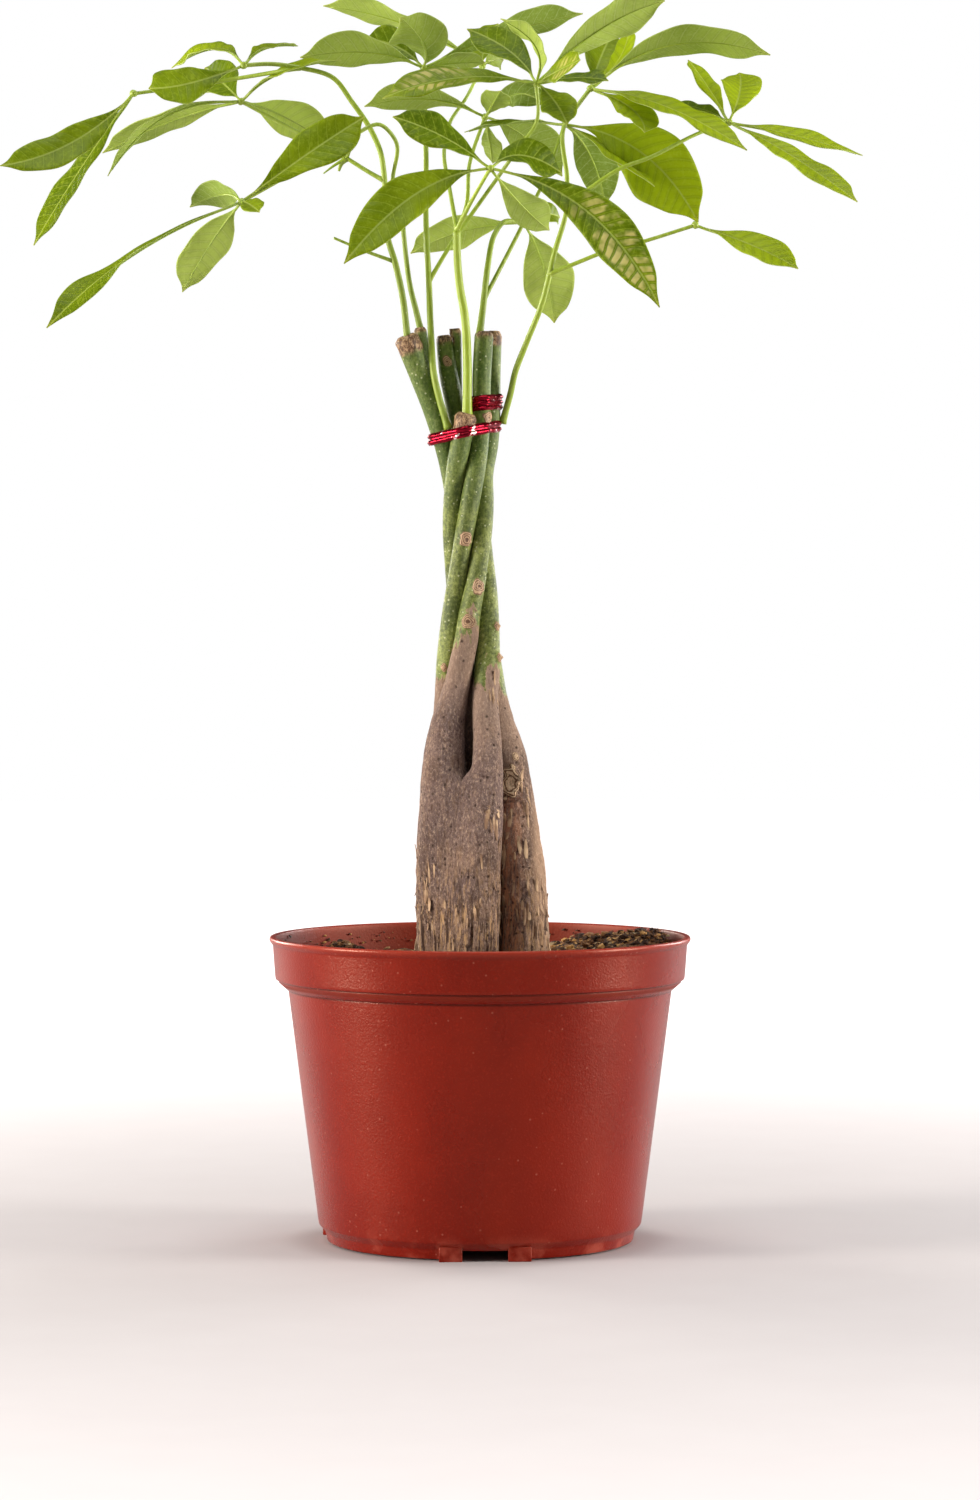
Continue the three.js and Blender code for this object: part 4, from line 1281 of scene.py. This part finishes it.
# %% The crimson foil
foil, tree, shader, place = new_material("crimson_foil")
creases = grain(place, 230, 2, 0.5)
streaks = grain(place, 200, 3, 0.6, (1, 1, 3))
crimson = mix(ramp(streaks, 0.35, 0.65), paint(112, 0, 22), paint(160, 6, 38))
# Painted highlight: near-white glints are painted on the crests of the foil's creases.
painted_glints = ramp(creases, 0.66, 0.7, 0, 0.85)
crimson = mix(painted_glints, crimson, paint(250, 214, 218))
feed(shader, Base_Color=crimson, Metallic=0.85, Roughness=ramp(creases, 0.3, 0.7, 0.2, 0.3))
feed(shader, Normal=relief(creases, 0.4, 0.0006))
for name, tie in TIES.items():
    dress(band(name + "_foil", tie), "foil_tie", [name], foil)

# %% [markdown]
# A money tree's leaf is like a hand: a long stalk ends in a small hub, and from it a few leaflets spread.
# Each leaflet below is given by the middle and tip of its midrib as seen from the front, with the depth
# behind the plait's plane in the middle number, then its width and how far it is turned from facing the
# viewer. Past 90 degrees its pale underside shows. The rest are its looks: tone from dark to bright, dry
# patches, and how strongly it puckers between its veins. The tone is partly the leaflet's own green and
# partly painted shade and light: leaflets that lie in shade are given low tones.


# %% The shoots' routes and leaflets
EDGE_WAVE = 0.06


def leaf(middle, tip, width, turn, tone=0.5, tip_turn=None, dry=0.0, pucker=0.05, blunt=1.6):
    return dict(
        middle=middle, tip=tip, width=width, turn=turn, tip_turn=turn if tip_turn is None else tip_turn,
        tone=tone, dry=dry, pucker=pucker, blunt=blunt,
    )


SHOOTS = {
    "shoot_left": dict(
        stem=[
            (-28.5, -6, 354.7), (-30, -6, 368), (-33, -7, 382), (-36, -7, 392), (-37, -7, 412),
            (-39, -7, 426), (-42, -7, 433), (-50, -8, 445), (-57, -10, 454), (-70, -11, 458),
            (-81, -12, 459.5), (-92, -15, 459),
        ],
        thick=(1.35, 0.8), tone=0.45,
        twigs=[
            ([(-34, -7, 383), (-45, -9, 387), (-57, -12, 392)], (0.75, 0.5)),
            ([(-52, -5, 423), (-57, -5, 420), (-61, -6, 417)], (0.8, 0.25)),
            ([(-52, -5, 423), (-50, -7, 428), (-49, -8, 432)], (0.8, 0.25)),
            ([(-52, -5, 423), (-54, -3, 421), (-55, -2, 418)], (1.4, 0.5)),
        ],
        leaves=[  # each fan has its stalk, and its leaflets with middle, tip, width, turn and tone
            ([(-92, -15, 459)], [
                leaf((-113, -28, 452), (-129, -47, 450), 16, 15, 0.4),
                leaf((-103, -2, 465.5), (-120, 18, 458), 14, 66, 0.6),
                leaf((-84, -6, 465.5), (-71, 8, 466.5), 12, 72, 0.5),
            ]),
            ([(-37, -7, 414), (-44, -6, 418), (-52, -5, 423), (-71, -1, 433), (-82, 2, 439), (-93, 5, 445)], [
                leaf((-100, 24, 452), (-107, 48, 458), 17, 0, 0.25),
                leaf((-119, 16, 438), (-147, 28, 425), 14, 125, 0.6),
                leaf((-123, -6, 439), (-145, -12, 416), 12, 95, 0.4),
                leaf((-76, 20, 439), (-57, 38, 427), 16, 160, 0.9),
                leaf((-78, -6, 456), (-54, -16, 461), 14, 75, 0.6),
            ]),
            ([(-70, -11, 458), (-94, -2, 454), (-113, -3, 451), (-135, -10, 448)], [
                leaf((-159, -21, 429), (-187, -38, 420), 15, 20, 0.3, blunt=1.35),
                leaf((-156, -8, 418), (-174, -8, 389), 15, 50, 0.2, blunt=1.35),
            ]),
        ],
    ),
    "shoot_back_left": dict(
        stem=[(-23.5, 1.8, 357.7), (-25, 1, 364), (-27, 0, 372), (-29, -1, 386), (-30, -2, 396)],
        thick=(1.25, 0.9), tone=0.4, twigs=[],
        leaves=[
            ([
                (-30, -2, 396), (-34, -3, 413), (-33, -11, 430), (-39, -15, 436), (-49, -18, 432),
                (-70, -25, 419), (-93, -30, 406),
            ], [
                leaf((-68, -27, 424), (-45, -21, 439), 19, 20, 0.35),
                leaf((-105, -16, 390), (-116, 0, 371), 17, 150, 0.7, blunt=1.3),
                leaf((-100, -10, 409), (-113, 12, 404), 14, 130, 0.4),
                leaf((-133, -45, 387), (-169, -62, 357), 16, 84, 0.3, tip_turn=15),
                leaf((-90, -44, 405), (-86, -58, 402), 9, 30, 0.4),
            ]),
        ],
    ),
    "shoot_back": dict(
        stem=[
            (-13.2, -7, 320.6), (-16, -7.6, 330), (-18, -7.4, 339), (-19, -5.5, 352), (-20, -3, 376),
            (-21, 0, 396), (-21, 8, 422), (-22, 25, 458),
        ],
        thick=(1.45, 0.9), tone=0.5, twigs=[],
        leaves=[
            ([(-22, 25, 458)], [
                leaf((-32, 30, 466), (-45, 36, 469), 14, 20, 0.15),
                leaf((-22, 10, 467), (-31, -4, 477.5), 22, 158, 0.6),
                leaf((-43, 20, 464), (-70, 18, 462), 16, 140, 0.6),
                leaf((8, 30, 471), (40, 34, 479), 16, 122, 0.2),
                leaf((-10, 30, 460), (2, 34, 460), 12, 120, 0.6),
            ]),
            ([
                (-20, -3, 375), (-11, -2, 390), (-9, -2, 393), (8, -5, 417), (15, -11, 427), (22, -14, 437),
                (22, -15, 452),
            ], [
                leaf((-8, -28, 454), (-38, -37, 446), 17, 50, 0.35, dry=0.9),
                leaf((12, -4, 464), (-5, 8, 473), 15, 30, 0.2),
                leaf((22, -26, 466), (8, -32, 477), 13, 108, 0.9),
                leaf((31, -34, 457), (39, -54, 461), 14, 40, 0.5, dry=0.8),
                leaf((37, -23, 454), (50, -27, 453), 12, 60, 0.1),
                leaf((29, -30, 445), (34, -44, 436), 14, 20, 0.45),
                leaf((47, -13, 473), (72, -12, 484), 17, 145, 0.6),
            ]),
        ],
    ),
    "shoot_middle": dict(
        stem=[
            (-5, -7.7, 324.7), (-5, -7.7, 346), (-6, -8, 362), (-8, -9, 374), (-9, -11, 390), (-9, -12, 395),
        ],
        thick=(1.85, 1.4), tone=0.9, twigs=[],
        leaves=[
            ([(-9, -12, 395), (-4, -26, 405), (4, -45, 419)], [
                leaf((-14, -49, 431), (-34, -54, 439), 17, 40, 0.15),
                leaf((-25, -58, 409), (-53, -74, 382), 18, 10, 0.4, pucker=0.07),
                leaf((16, -35, 424), (32, -24, 417), 15, 35, 0.0),
                leaf((42, -58, 402), (70, -77, 365), 18, 10, 0.25, dry=1.0, pucker=0.5),
                leaf((16, -36, 405), (27, -24, 395), 14, 165, 0.7),
            ]),
            ([(-9, -12, 395), (-6, -10, 402), (-4, 0, 421), (2, 10, 439)], [
                leaf((-20, 3, 446), (-45, 2, 443), 15, 125, 0.6),
                leaf((14, 22, 448), (26, 32, 443), 14, 140, 0.1),
                leaf((5, 1, 444), (8, -8, 449), 12, 160, 0.6),
                leaf((4, 22, 429), (5, 34, 421), 10, 140, 0.5),
                leaf((18, 26, 431), (32, 43, 416), 17, 165, 0.5),
            ]),
            ([(-9, -12, 395), (-12, -4, 412), (-14, 8, 424), (-12, 22, 436), (-5, 38, 447), (1, 52, 459)], [
                leaf((-29, 55, 475), (-61, 60, 482), 17, 112, 0.7),
                leaf((2, 64, 466), (7, 84, 475), 15, 20, 0.5),
                leaf((5, 44, 461), (9, 32, 461), 8, 150, 0.6),
            ]),
        ],
    ),
    "shoot_back_right": dict(
        stem=[(0, -1.4, 355.9), (1.5, 0, 368), (3, 2, 381), (6, 8, 394), (9, 12, 398), (17, 20, 398)],
        thick=(1.5, 0.85), tone=0.5, twigs=[],
        leaves=[
            ([(17, 20, 398)], [
                leaf((-6, 28, 395), (-27, 40, 386), 15, 145, 0.6),
                leaf((25, 36, 380), (29, 56, 359), 21, 170, 0.75),
                leaf((25, 36, 401), (31, 50, 400), 10, 20, 0.3),
            ]),
            ([(1.5, 0, 368), (16, 8, 396), (27, 12, 419), (33, 15, 436)], [
                leaf((63, 4, 425), (85, -2, 398), 27, 5, 0.9),
                leaf((49, 8, 427), (68, -4, 412), 12, 60, 0.95),
                leaf((43, 30, 424), (49, 46, 404), 16, 165, 0.15),
                leaf((14, -3, 437), (-6, -11, 433), 12, 80, 0.1),
            ]),
        ],
    ),
    "shoot_right": dict(
        stem=[
            (9.5, 3.4, 322.8), (12, 1, 332), (13.5, -1, 339), (18, -4, 351), (24, -8, 366), (29, -10, 386),
            (34, -10, 405), (34, -9, 414), (33, -3, 436), (37, 1, 442), (43, 5, 450),
        ],
        thick=(1.3, 0.8), tone=0.6, twigs=[],
        leaves=[
            ([(43, 5, 450)], [
                leaf((72, -10, 443), (104, -24, 426), 16, 55, 0.85),
                leaf((59, -5, 442), (64, -16, 433), 14, 30, 0.9),
                leaf((47, 18, 462), (52, 38, 472), 18, 0, 0.4),
                leaf((54, 9, 461), (58, 14, 473), 13, 60, 0.9),
                leaf((75, 2, 467), (113, -8, 463), 17, 130, 0.55),
            ]),
            ([
                (34, -10, 405), (41, -12, 410), (57, -15, 420), (63, -16, 422), (86, -9, 433), (97, -5, 437),
            ], [
                leaf((86, 6, 442), (74, 18, 444), 13, 65, 0.2),
                leaf((89, 6, 450), (81, 16, 461), 14, 55, 0.8),
                leaf((101, 22, 448), (101, 48, 456), 16, 0, 0.9),
                leaf((121, -4, 432), (149, -6, 424), 14, 65, 0.9),
                leaf((121, -28, 424), (147, -52, 406), 15, 50, 0.85),
            ]),
            ([(27, -9.5, 378), (37, -12, 382), (47, -14, 386), (65, -16, 391), (84, -18, 397)], [
                leaf((106, -26, 389), (124, -36, 380), 16, 45, 0.95),
            ]),
        ],
    ),
}
print("leaflets:", sum(len(fan) for shoot in SHOOTS.values() for _, fan in shoot["leaves"]))


def seen(point):
    """Moves a point seen in the plait's plane to its own depth along the line of sight."""
    x, depth, z = point
    eye = np.array(VIEWER) / MM
    return eye + (np.array([x, 0, z]) - eye) * (depth - eye[1]) / -eye[1]


# %% [markdown]
# One flat grid stands for every leaflet. A copy of it is laid along the leaflet's midrib: the grid's long
# side follows an arched curve, its short side is scaled by the outline, folded up from the midrib, waved
# at the edges, and puckered between the side veins. Cloth or sculpting could bend a leaf too, but a
# formula bends fifty-eight of them alike and still gives each its own shape.

# %% The shape of a leaflet
ALONG, ACROSS = 96, 20
BLADE_START = 0.035
VEIN_SPACING, VEIN_SLANT, VEIN_CURVE = 4.4, 0.62, 0.012


def outline_share(u, blunt):
    """The half width at u along the blade, as a share of the widest. A larger blunt moves it outwards."""
    body = np.sin(np.pi * np.clip(u, 0, 1) ** blunt) ** 0.85
    return body * (0.35 + 0.65 * smoothstep(u, 0.02, 0.3)) * (1 - 0.42 * smoothstep(u, 0.87, 0.97))


def bezier(p0, p1, p2, t):
    t = np.asarray(t)[:, None]
    return (1 - t) ** 2 * p0 + 2 * t * (1 - t) * p1 + t * t * p2


def unit(rows):
    return rows / np.maximum(np.linalg.norm(rows, axis=-1, keepdims=True), 1e-9)


def midrib_frame(hub, look, t):
    """Centres, headings, sides and normals of a leaflet at shares t of its midrib."""
    p0, pm, p2 = hub, seen(look["middle"]), seen(look["tip"])
    p1 = 2 * pm - (p0 + p2) / 2
    t = np.asarray(t, float)
    heading = unit(2 * (1 - t)[:, None] * (p1 - p0) + 2 * t[:, None] * (p2 - p1))
    front = np.array([0, -1.0, 0])
    facing = unit(front - heading * (heading @ front)[:, None])
    upward = -1 if np.cross(p2 - p0, front)[2] < 0 else 1
    rising = np.cross(heading, facing) * upward
    angle = np.radians(look["turn"] + (look["tip_turn"] - look["turn"]) * t**3)[:, None]
    normal = facing * np.cos(angle) + rising * np.sin(angle)
    return bezier(p0, p1, p2, t), heading, np.cross(normal, heading), normal


def vein_phase(x, y):
    """Where a place on the blade lies between two side veins: 0 and 1 are on one."""
    y = np.abs(y)
    return ((x - VEIN_SLANT * y - VEIN_CURVE * y * y) / VEIN_SPACING) % 1


# %% One grid for all leaflets
clear_selection()
bpy.ops.mesh.primitive_grid_add(x_subdivisions=ALONG, y_subdivisions=ACROSS, size=2, calc_uvs=True)
leaf_grid = bpy.context.object
leaf_grid.name = "leaf_grid"
grid_points = np.array([v.co for v in leaf_grid.data.vertices])
grid_u, grid_s = (grid_points[:, 0] + 1) / 2, grid_points[:, 1]
print("leaf grid:", len(grid_points), "points")


def leaflet_sheet(hub, look, serial):
    """A copy of the grid, laid along one midrib."""
    shade = random.Random(serial)
    levels = np.linspace(0, 1, ALONG + 1)
    t = BLADE_START + (1 - BLADE_START) * levels
    centre, _, side, normal = midrib_frame(hub, look, t)
    length = run_of(centre)
    row = np.clip(np.round(grid_u * ALONG).astype(int), 0, ALONG)
    half = np.maximum(look["width"] / 2 * outline_share(levels, look["blunt"]), 0.22)[row]
    s, hand = grid_s, np.sign(grid_s)
    start = shade.uniform(0, 6)
    uneven = 0.05 * np.sin(11 * t[row] + start + hand) + 0.07 * hand * np.sin(5 * t[row] + start)
    across = s * half * (1 + uneven)
    phase = vein_phase(length[row] + 0.8 * hand, across)
    swell = np.sin(np.pi * phase) ** 2 * (np.abs(s) ** 0.6) * (1 - 0.75 * np.abs(s) ** 4)
    beat = 9 + shade.uniform(-2, 3)
    edge_wave = EDGE_WAVE * look["width"] * np.abs(s) ** 2.2 * (half / half.max()) * (
        np.sin(beat * t[row] + serial) * hand + 0.5 * np.sin(2.3 * beat * t[row] + start + 2 * hand)
    )
    fold = 0.24 * half * (np.sqrt(s * s + 0.006) - 0.077) - 0.10 * half * s**4
    lift = fold + edge_wave + look["pucker"] * swell * smoothstep(half, 0.5, 4)
    points = centre[row] + side[row] * across[:, None] + normal[row] * lift[:, None]
    sheet = bpy.data.objects.new(f"leaflet_{serial}", leaf_grid.data.copy())
    bpy.context.collection.objects.link(sheet)
    set_corners(sheet, points)
    tone = np.clip(look["tone"] + shade.uniform(-0.05, 0.05), 0, 1)
    set_masks(
        sheet, blade_x=length[row], blade_y=across, along=t[row], edge=np.abs(s), tone=tone,
        dry=look["dry"], serial=shade.random(),
    )
    return sheet


# %% [markdown]
# The veins are drawn in the blade's own measure: millimetres along the midrib and out from it. Both faces
# of a leaf need them, so they are a node group. It draws the midrib, the side veins that curve towards the
# tip, and the fine net between them, and gives back a mask for each and a height for the bump.

# %% A group for leaf veins
VEIN_MASKS = ["Midrib", "Side veins", "Net", "Swell", "Height"]
veins, inner, outer = new_group("leaf_veins", {"Along": 0.0, "Across": 0.0, "Seed": 0.0}, VEIN_MASKS)
along, across, seed = inner["Along"], inner["Across"], inner["Seed"]
jitter_place = vector(times(along, 0.11), times(across, 0.11), times(seed, 37))
jitter = minus(grain(jitter_place, 1.0, 2), 0.5)
away, hand = calc("ABSOLUTE", across), calc("SIGN", across)
slant = plus(times(away, VEIN_SLANT), times(away, away, VEIN_CURVE))
reach = minus(plus(along, times(hand, 0.8)), slant)
phase = plus(calc("DIVIDE", reach, VEIN_SPACING), times(jitter, 0.5))
gap = minus(calc("FRACT", plus(phase, 0.5)), 0.5)
gap = calc("ABSOLUTE", gap)
side_line = ramp(gap, 0.075, 0.02)
faint = ramp(gap, 0.5, 0.0)
midrib_line = ramp(away, 0.55, 0.18)
net_place = vector(reach, times(across, 0.8), times(seed, 50))
to_edge = {"feature": "DISTANCE_TO_EDGE"}
net_cells = add(veins, "ShaderNodeTexVoronoi", to_edge, Vector=net_place, Scale=0.8)
net = ramp(net_cells.outputs["Distance"], 0.09, 0.01)
height = minus(minus(1.0, faint), times(side_line, 0.5))
height = minus(height, times(midrib_line, 0.8))
for label, socket in zip(VEIN_MASKS, (midrib_line, side_line, net, faint, height)):
    veins.links.new(socket, outer[label])
print("vein group:", len(veins.nodes), "nodes")

# %% [markdown]
# A leaf lets light through, so each face is a gloss shader mixed with a translucent one. The upper face is
# deeper green with pale vein lines and a waxy shine; the lower face is paler, greyer and matt. A leaf with
# a dry number has beige papery patches between its side veins on its outer half.


# %% The two faces of a leaf
def leaf_material(name, dark, bright, line, line_share, roughness, glow, relief_sign):
    material, tree, shader, place = new_material(name)
    along, tone, dry, edge = attributes(tree, "along", "tone", "dry", "edge")
    seed, x, y = attributes(tree, "serial", "blade_x", "blade_y")
    vein = use(veins, Along=x, Across=y, Seed=seed)
    cloud = grain(place, 45, 3, 0.55)
    fine = grain(place, 700, 3, 0.6)
    shade = plus(tone, times(minus(cloud, 0.5), 0.9))
    shade = minus(shade, ramp(along, 0.45, 0.0, 0, 0.25))
    green = mix(ramp(shade, 0.0, 1.0), dark, bright)
    # Painted shade: the blade is painted darker beside each side vein, where its panels dip towards the vein.
    painted_vein_shade = ramp(vein["Swell"], 0.45, 0.95, 0, 0.3)
    green = mix(painted_vein_shade, green, dark)
    green = mix(ramp(fine, 0.5, 0.66, 0, 0.28), green, line)
    green = mix(times(vein["Net"], line_share * 0.4), green, line)
    green = mix(times(vein["Side veins"], line_share), green, line)
    rib_colour = [(a + b) / 2 for a, b in zip(line, paint(206, 218, 130))]
    green = mix(times(vein["Midrib"], 0.6), green, rib_colour)
    tip = ramp(along, 0.93, 1.0, 0, 0.35)
    green = mix(tip, green, paint(176, 170, 60))
    margin = ramp(edge, 0.93, 1.0, 0, 0.35)
    green = mix(margin, green, line)

    outer_half = times(ramp(along, 0.38, 0.55), ramp(along, 0.97, 0.9))
    inside = times(ramp(edge, 0.86, 0.7), ramp(calc("ABSOLUTE", y), 0.5, 1.2))
    blotch = ramp(grain(place, 70, 3, 0.6), 0.42, 0.56)
    clear = ramp(vein["Swell"], 0.9, 0.55)
    patch = times(outer_half, inside, blotch, clear, dry)
    colour = mix(patch, green, paint(214, 202, 126))

    rough = ramp(fine, 0.3, 0.7, roughness - 0.05, roughness + 0.06)
    height = plus(vein["Height"], times(fine, 0.03))
    normal = relief(height, 0.35 * relief_sign, 0.0002)
    feed(shader, Base_Color=colour, Roughness=rough, Normal=normal, Specular_IOR_Level=0.16)
    through = add(tree, "ShaderNodeBsdfTranslucent", Color=mix(0.55, colour, glow), Normal=normal)
    both = add(tree, "ShaderNodeMixShader", i0=0.4, i1=shader.outputs[0], i2=through.outputs[0])
    tree.links.new(both.outputs[0], tree.nodes["Material Output"].inputs["Surface"])
    print(name, "has", len(tree.nodes), "nodes")
    return material


leaf_top = leaf_material(
    "leaf_top", dark=paint(76, 102, 0), bright=paint(168, 187, 18), line=paint(188, 204, 64), line_share=0.3,
    roughness=0.42, glow=paint(190, 202, 14), relief_sign=1,
)
leaf_under = leaf_material(
    "leaf_under", dark=paint(134, 162, 66), bright=paint(197, 217, 110), line=paint(216, 228, 150),
    line_share=0.45, roughness=0.6, glow=paint(204, 216, 84), relief_sign=-1,
)

# %% [markdown]
# Stalks are soft and green with a fine ribbed skin, brighter on the young shoots. They swell a little
# where they leave the stem and where they meet the hub. The raised midribs on the leaves' undersides are
# rods of the same kind, thinning to nothing at the tip.

# %% The stalks' skin
stalk_skin, tree, shader, place = new_material("stalk_skin")
tone = attributes(tree, "tone")[0]
ribs = grain(place, 600, 4, 0.6, (1, 1, 0.15))
pale = use(specks, Place=place, Scale=800.0, Size=0.25, Share=0.15)["Mask"]
cloud = grain(place, 120, 3, 0.6)
shade = plus(tone, times(minus(cloud, 0.5), 0.4))
green = mix(ramp(shade, 0.0, 1.0), paint(100, 122, 40), paint(154, 176, 50))
green = mix(ramp(ribs, 0.48, 0.68, 0, 0.3), green, paint(196, 212, 110))
green = mix(times(pale, 0.4), green, paint(210, 220, 150))
feed(shader, Base_Color=green, Roughness=ramp(ribs, 0.3, 0.7, 0.38, 0.52))
feed(shader, Normal=relief(ribs, 0.4, 0.0003))
feed(shader, Subsurface_Weight=0.15, Subsurface_Radius=(0.6, 1.0, 0.2), Subsurface_Scale=0.001)

# %% Stalks, hubs and midribs of one shoot
HUB_RADIUS = 1.45
LEAF_THICKNESS = 0.34
STALK_SIDES = 12
MIDRIB_RADIUS, MIDRIB_TAPER = 0.62, 0.5


def tapered(route, thick, swell_start=0.35, swell_end=0.25, sunk=0.0):
    """Rows for a rod through the seen points, thinning evenly, thicker at both ends, its foot sunk in."""
    places = np.array([seen(p) for p in route])
    if sunk:
        places = np.vstack([places[0] + unit(places[0] - places[1]) * sunk, places])
    rows = smooth_rows([(*p, 0.0) for p in places], 1.6)
    run = run_of(rows[:, :3])
    swell = swell_start * np.exp(-run / 2.2) + swell_end * np.exp(-(run[-1] - run) / 1.8)
    rows[:, 3] = (thick[0] + (thick[1] - thick[0]) * run / run[-1]) * (1 + swell)
    return rows


def midrib_rows(hub, look):
    """The raised rib under a leaflet, from the hub to near the tip."""
    t = np.linspace(0.0, 0.96, 26)
    centre, _, _, normal = midrib_frame(hub, look, t)
    radius = MIDRIB_RADIUS - MIDRIB_TAPER * t**0.7
    sunk = 0.22 * smoothstep(t, BLADE_START, BLADE_START + 0.05)
    centre = centre - normal * (sunk + radius * 0.35 * (t > BLADE_START))[:, None]
    return np.column_stack([centre, radius])


# %% Growing the shoots
def grow_shoot(name, shoot, serial):
    rods = [tapered(shoot["stem"], shoot["thick"], 0.3, 0.1, sunk=3.0)]
    rods += [tapered(route, thick, 0.1, 0.0) for route, thick in shoot["twigs"]]
    sheets, hubs = [], []
    for i, (route, fan) in enumerate(shoot["leaves"]):
        hub = seen(route[-1])
        hubs.append(hub)
        if len(route) > 1:
            rods.append(tapered(route, (0.85, 0.68)))
        for j, look in enumerate(fan):
            rods.append(midrib_rows(hub, look))
            sheets.append(leaflet_sheet(hub, look, 100 * serial + 10 * i + j))
    stalks = [tube(name + "_stalks", rods, STALK_SIDES)]
    for hub in hubs:
        clear_selection()
        bpy.ops.mesh.primitive_uv_sphere_add(
            segments=20, ring_count=12, radius=HUB_RADIUS * MM, location=Vector(hub) * MM
        )
        knob = bpy.context.object
        bpy.ops.object.transform_apply(location=True, rotation=True, scale=True)
        points = corners(knob)
        set_corners(knob, hub + (points - hub) * (1 + 0.25 * spots(points, 1.3, serial))[:, None])
        stalks.append(knob)
    stalks = join_as(name + "_stalks", stalks)
    points = corners(stalks)
    base = shoot["stem"][0][2]
    young = smoothstep(points[:, 2], base, base + 60) * 0.25
    set_masks(stalks, tone=np.clip(shoot["tone"] + young, 0, 1))
    smooth_shade(stalks)
    leaves = join_as(name + "_leaves", sheets)
    shell = thicken(leaves, LEAF_THICKNESS)
    shell.material_offset, shell.material_offset_rim = 1, 1
    leaves.data.materials.clear()
    for material in (leaf_top, leaf_under):
        leaves.data.materials.append(material)
    smooth_shade(apply_modifiers(leaves))
    dress(stalks, "leafy_shoots", [name], stalk_skin)
    dress(leaves, "leafy_shoots", [name])


for serial, (name, shoot) in enumerate(SHOOTS.items()):
    grow_shoot(name, shoot, serial)
bpy.data.objects.remove(leaf_grid, do_unlink=True)
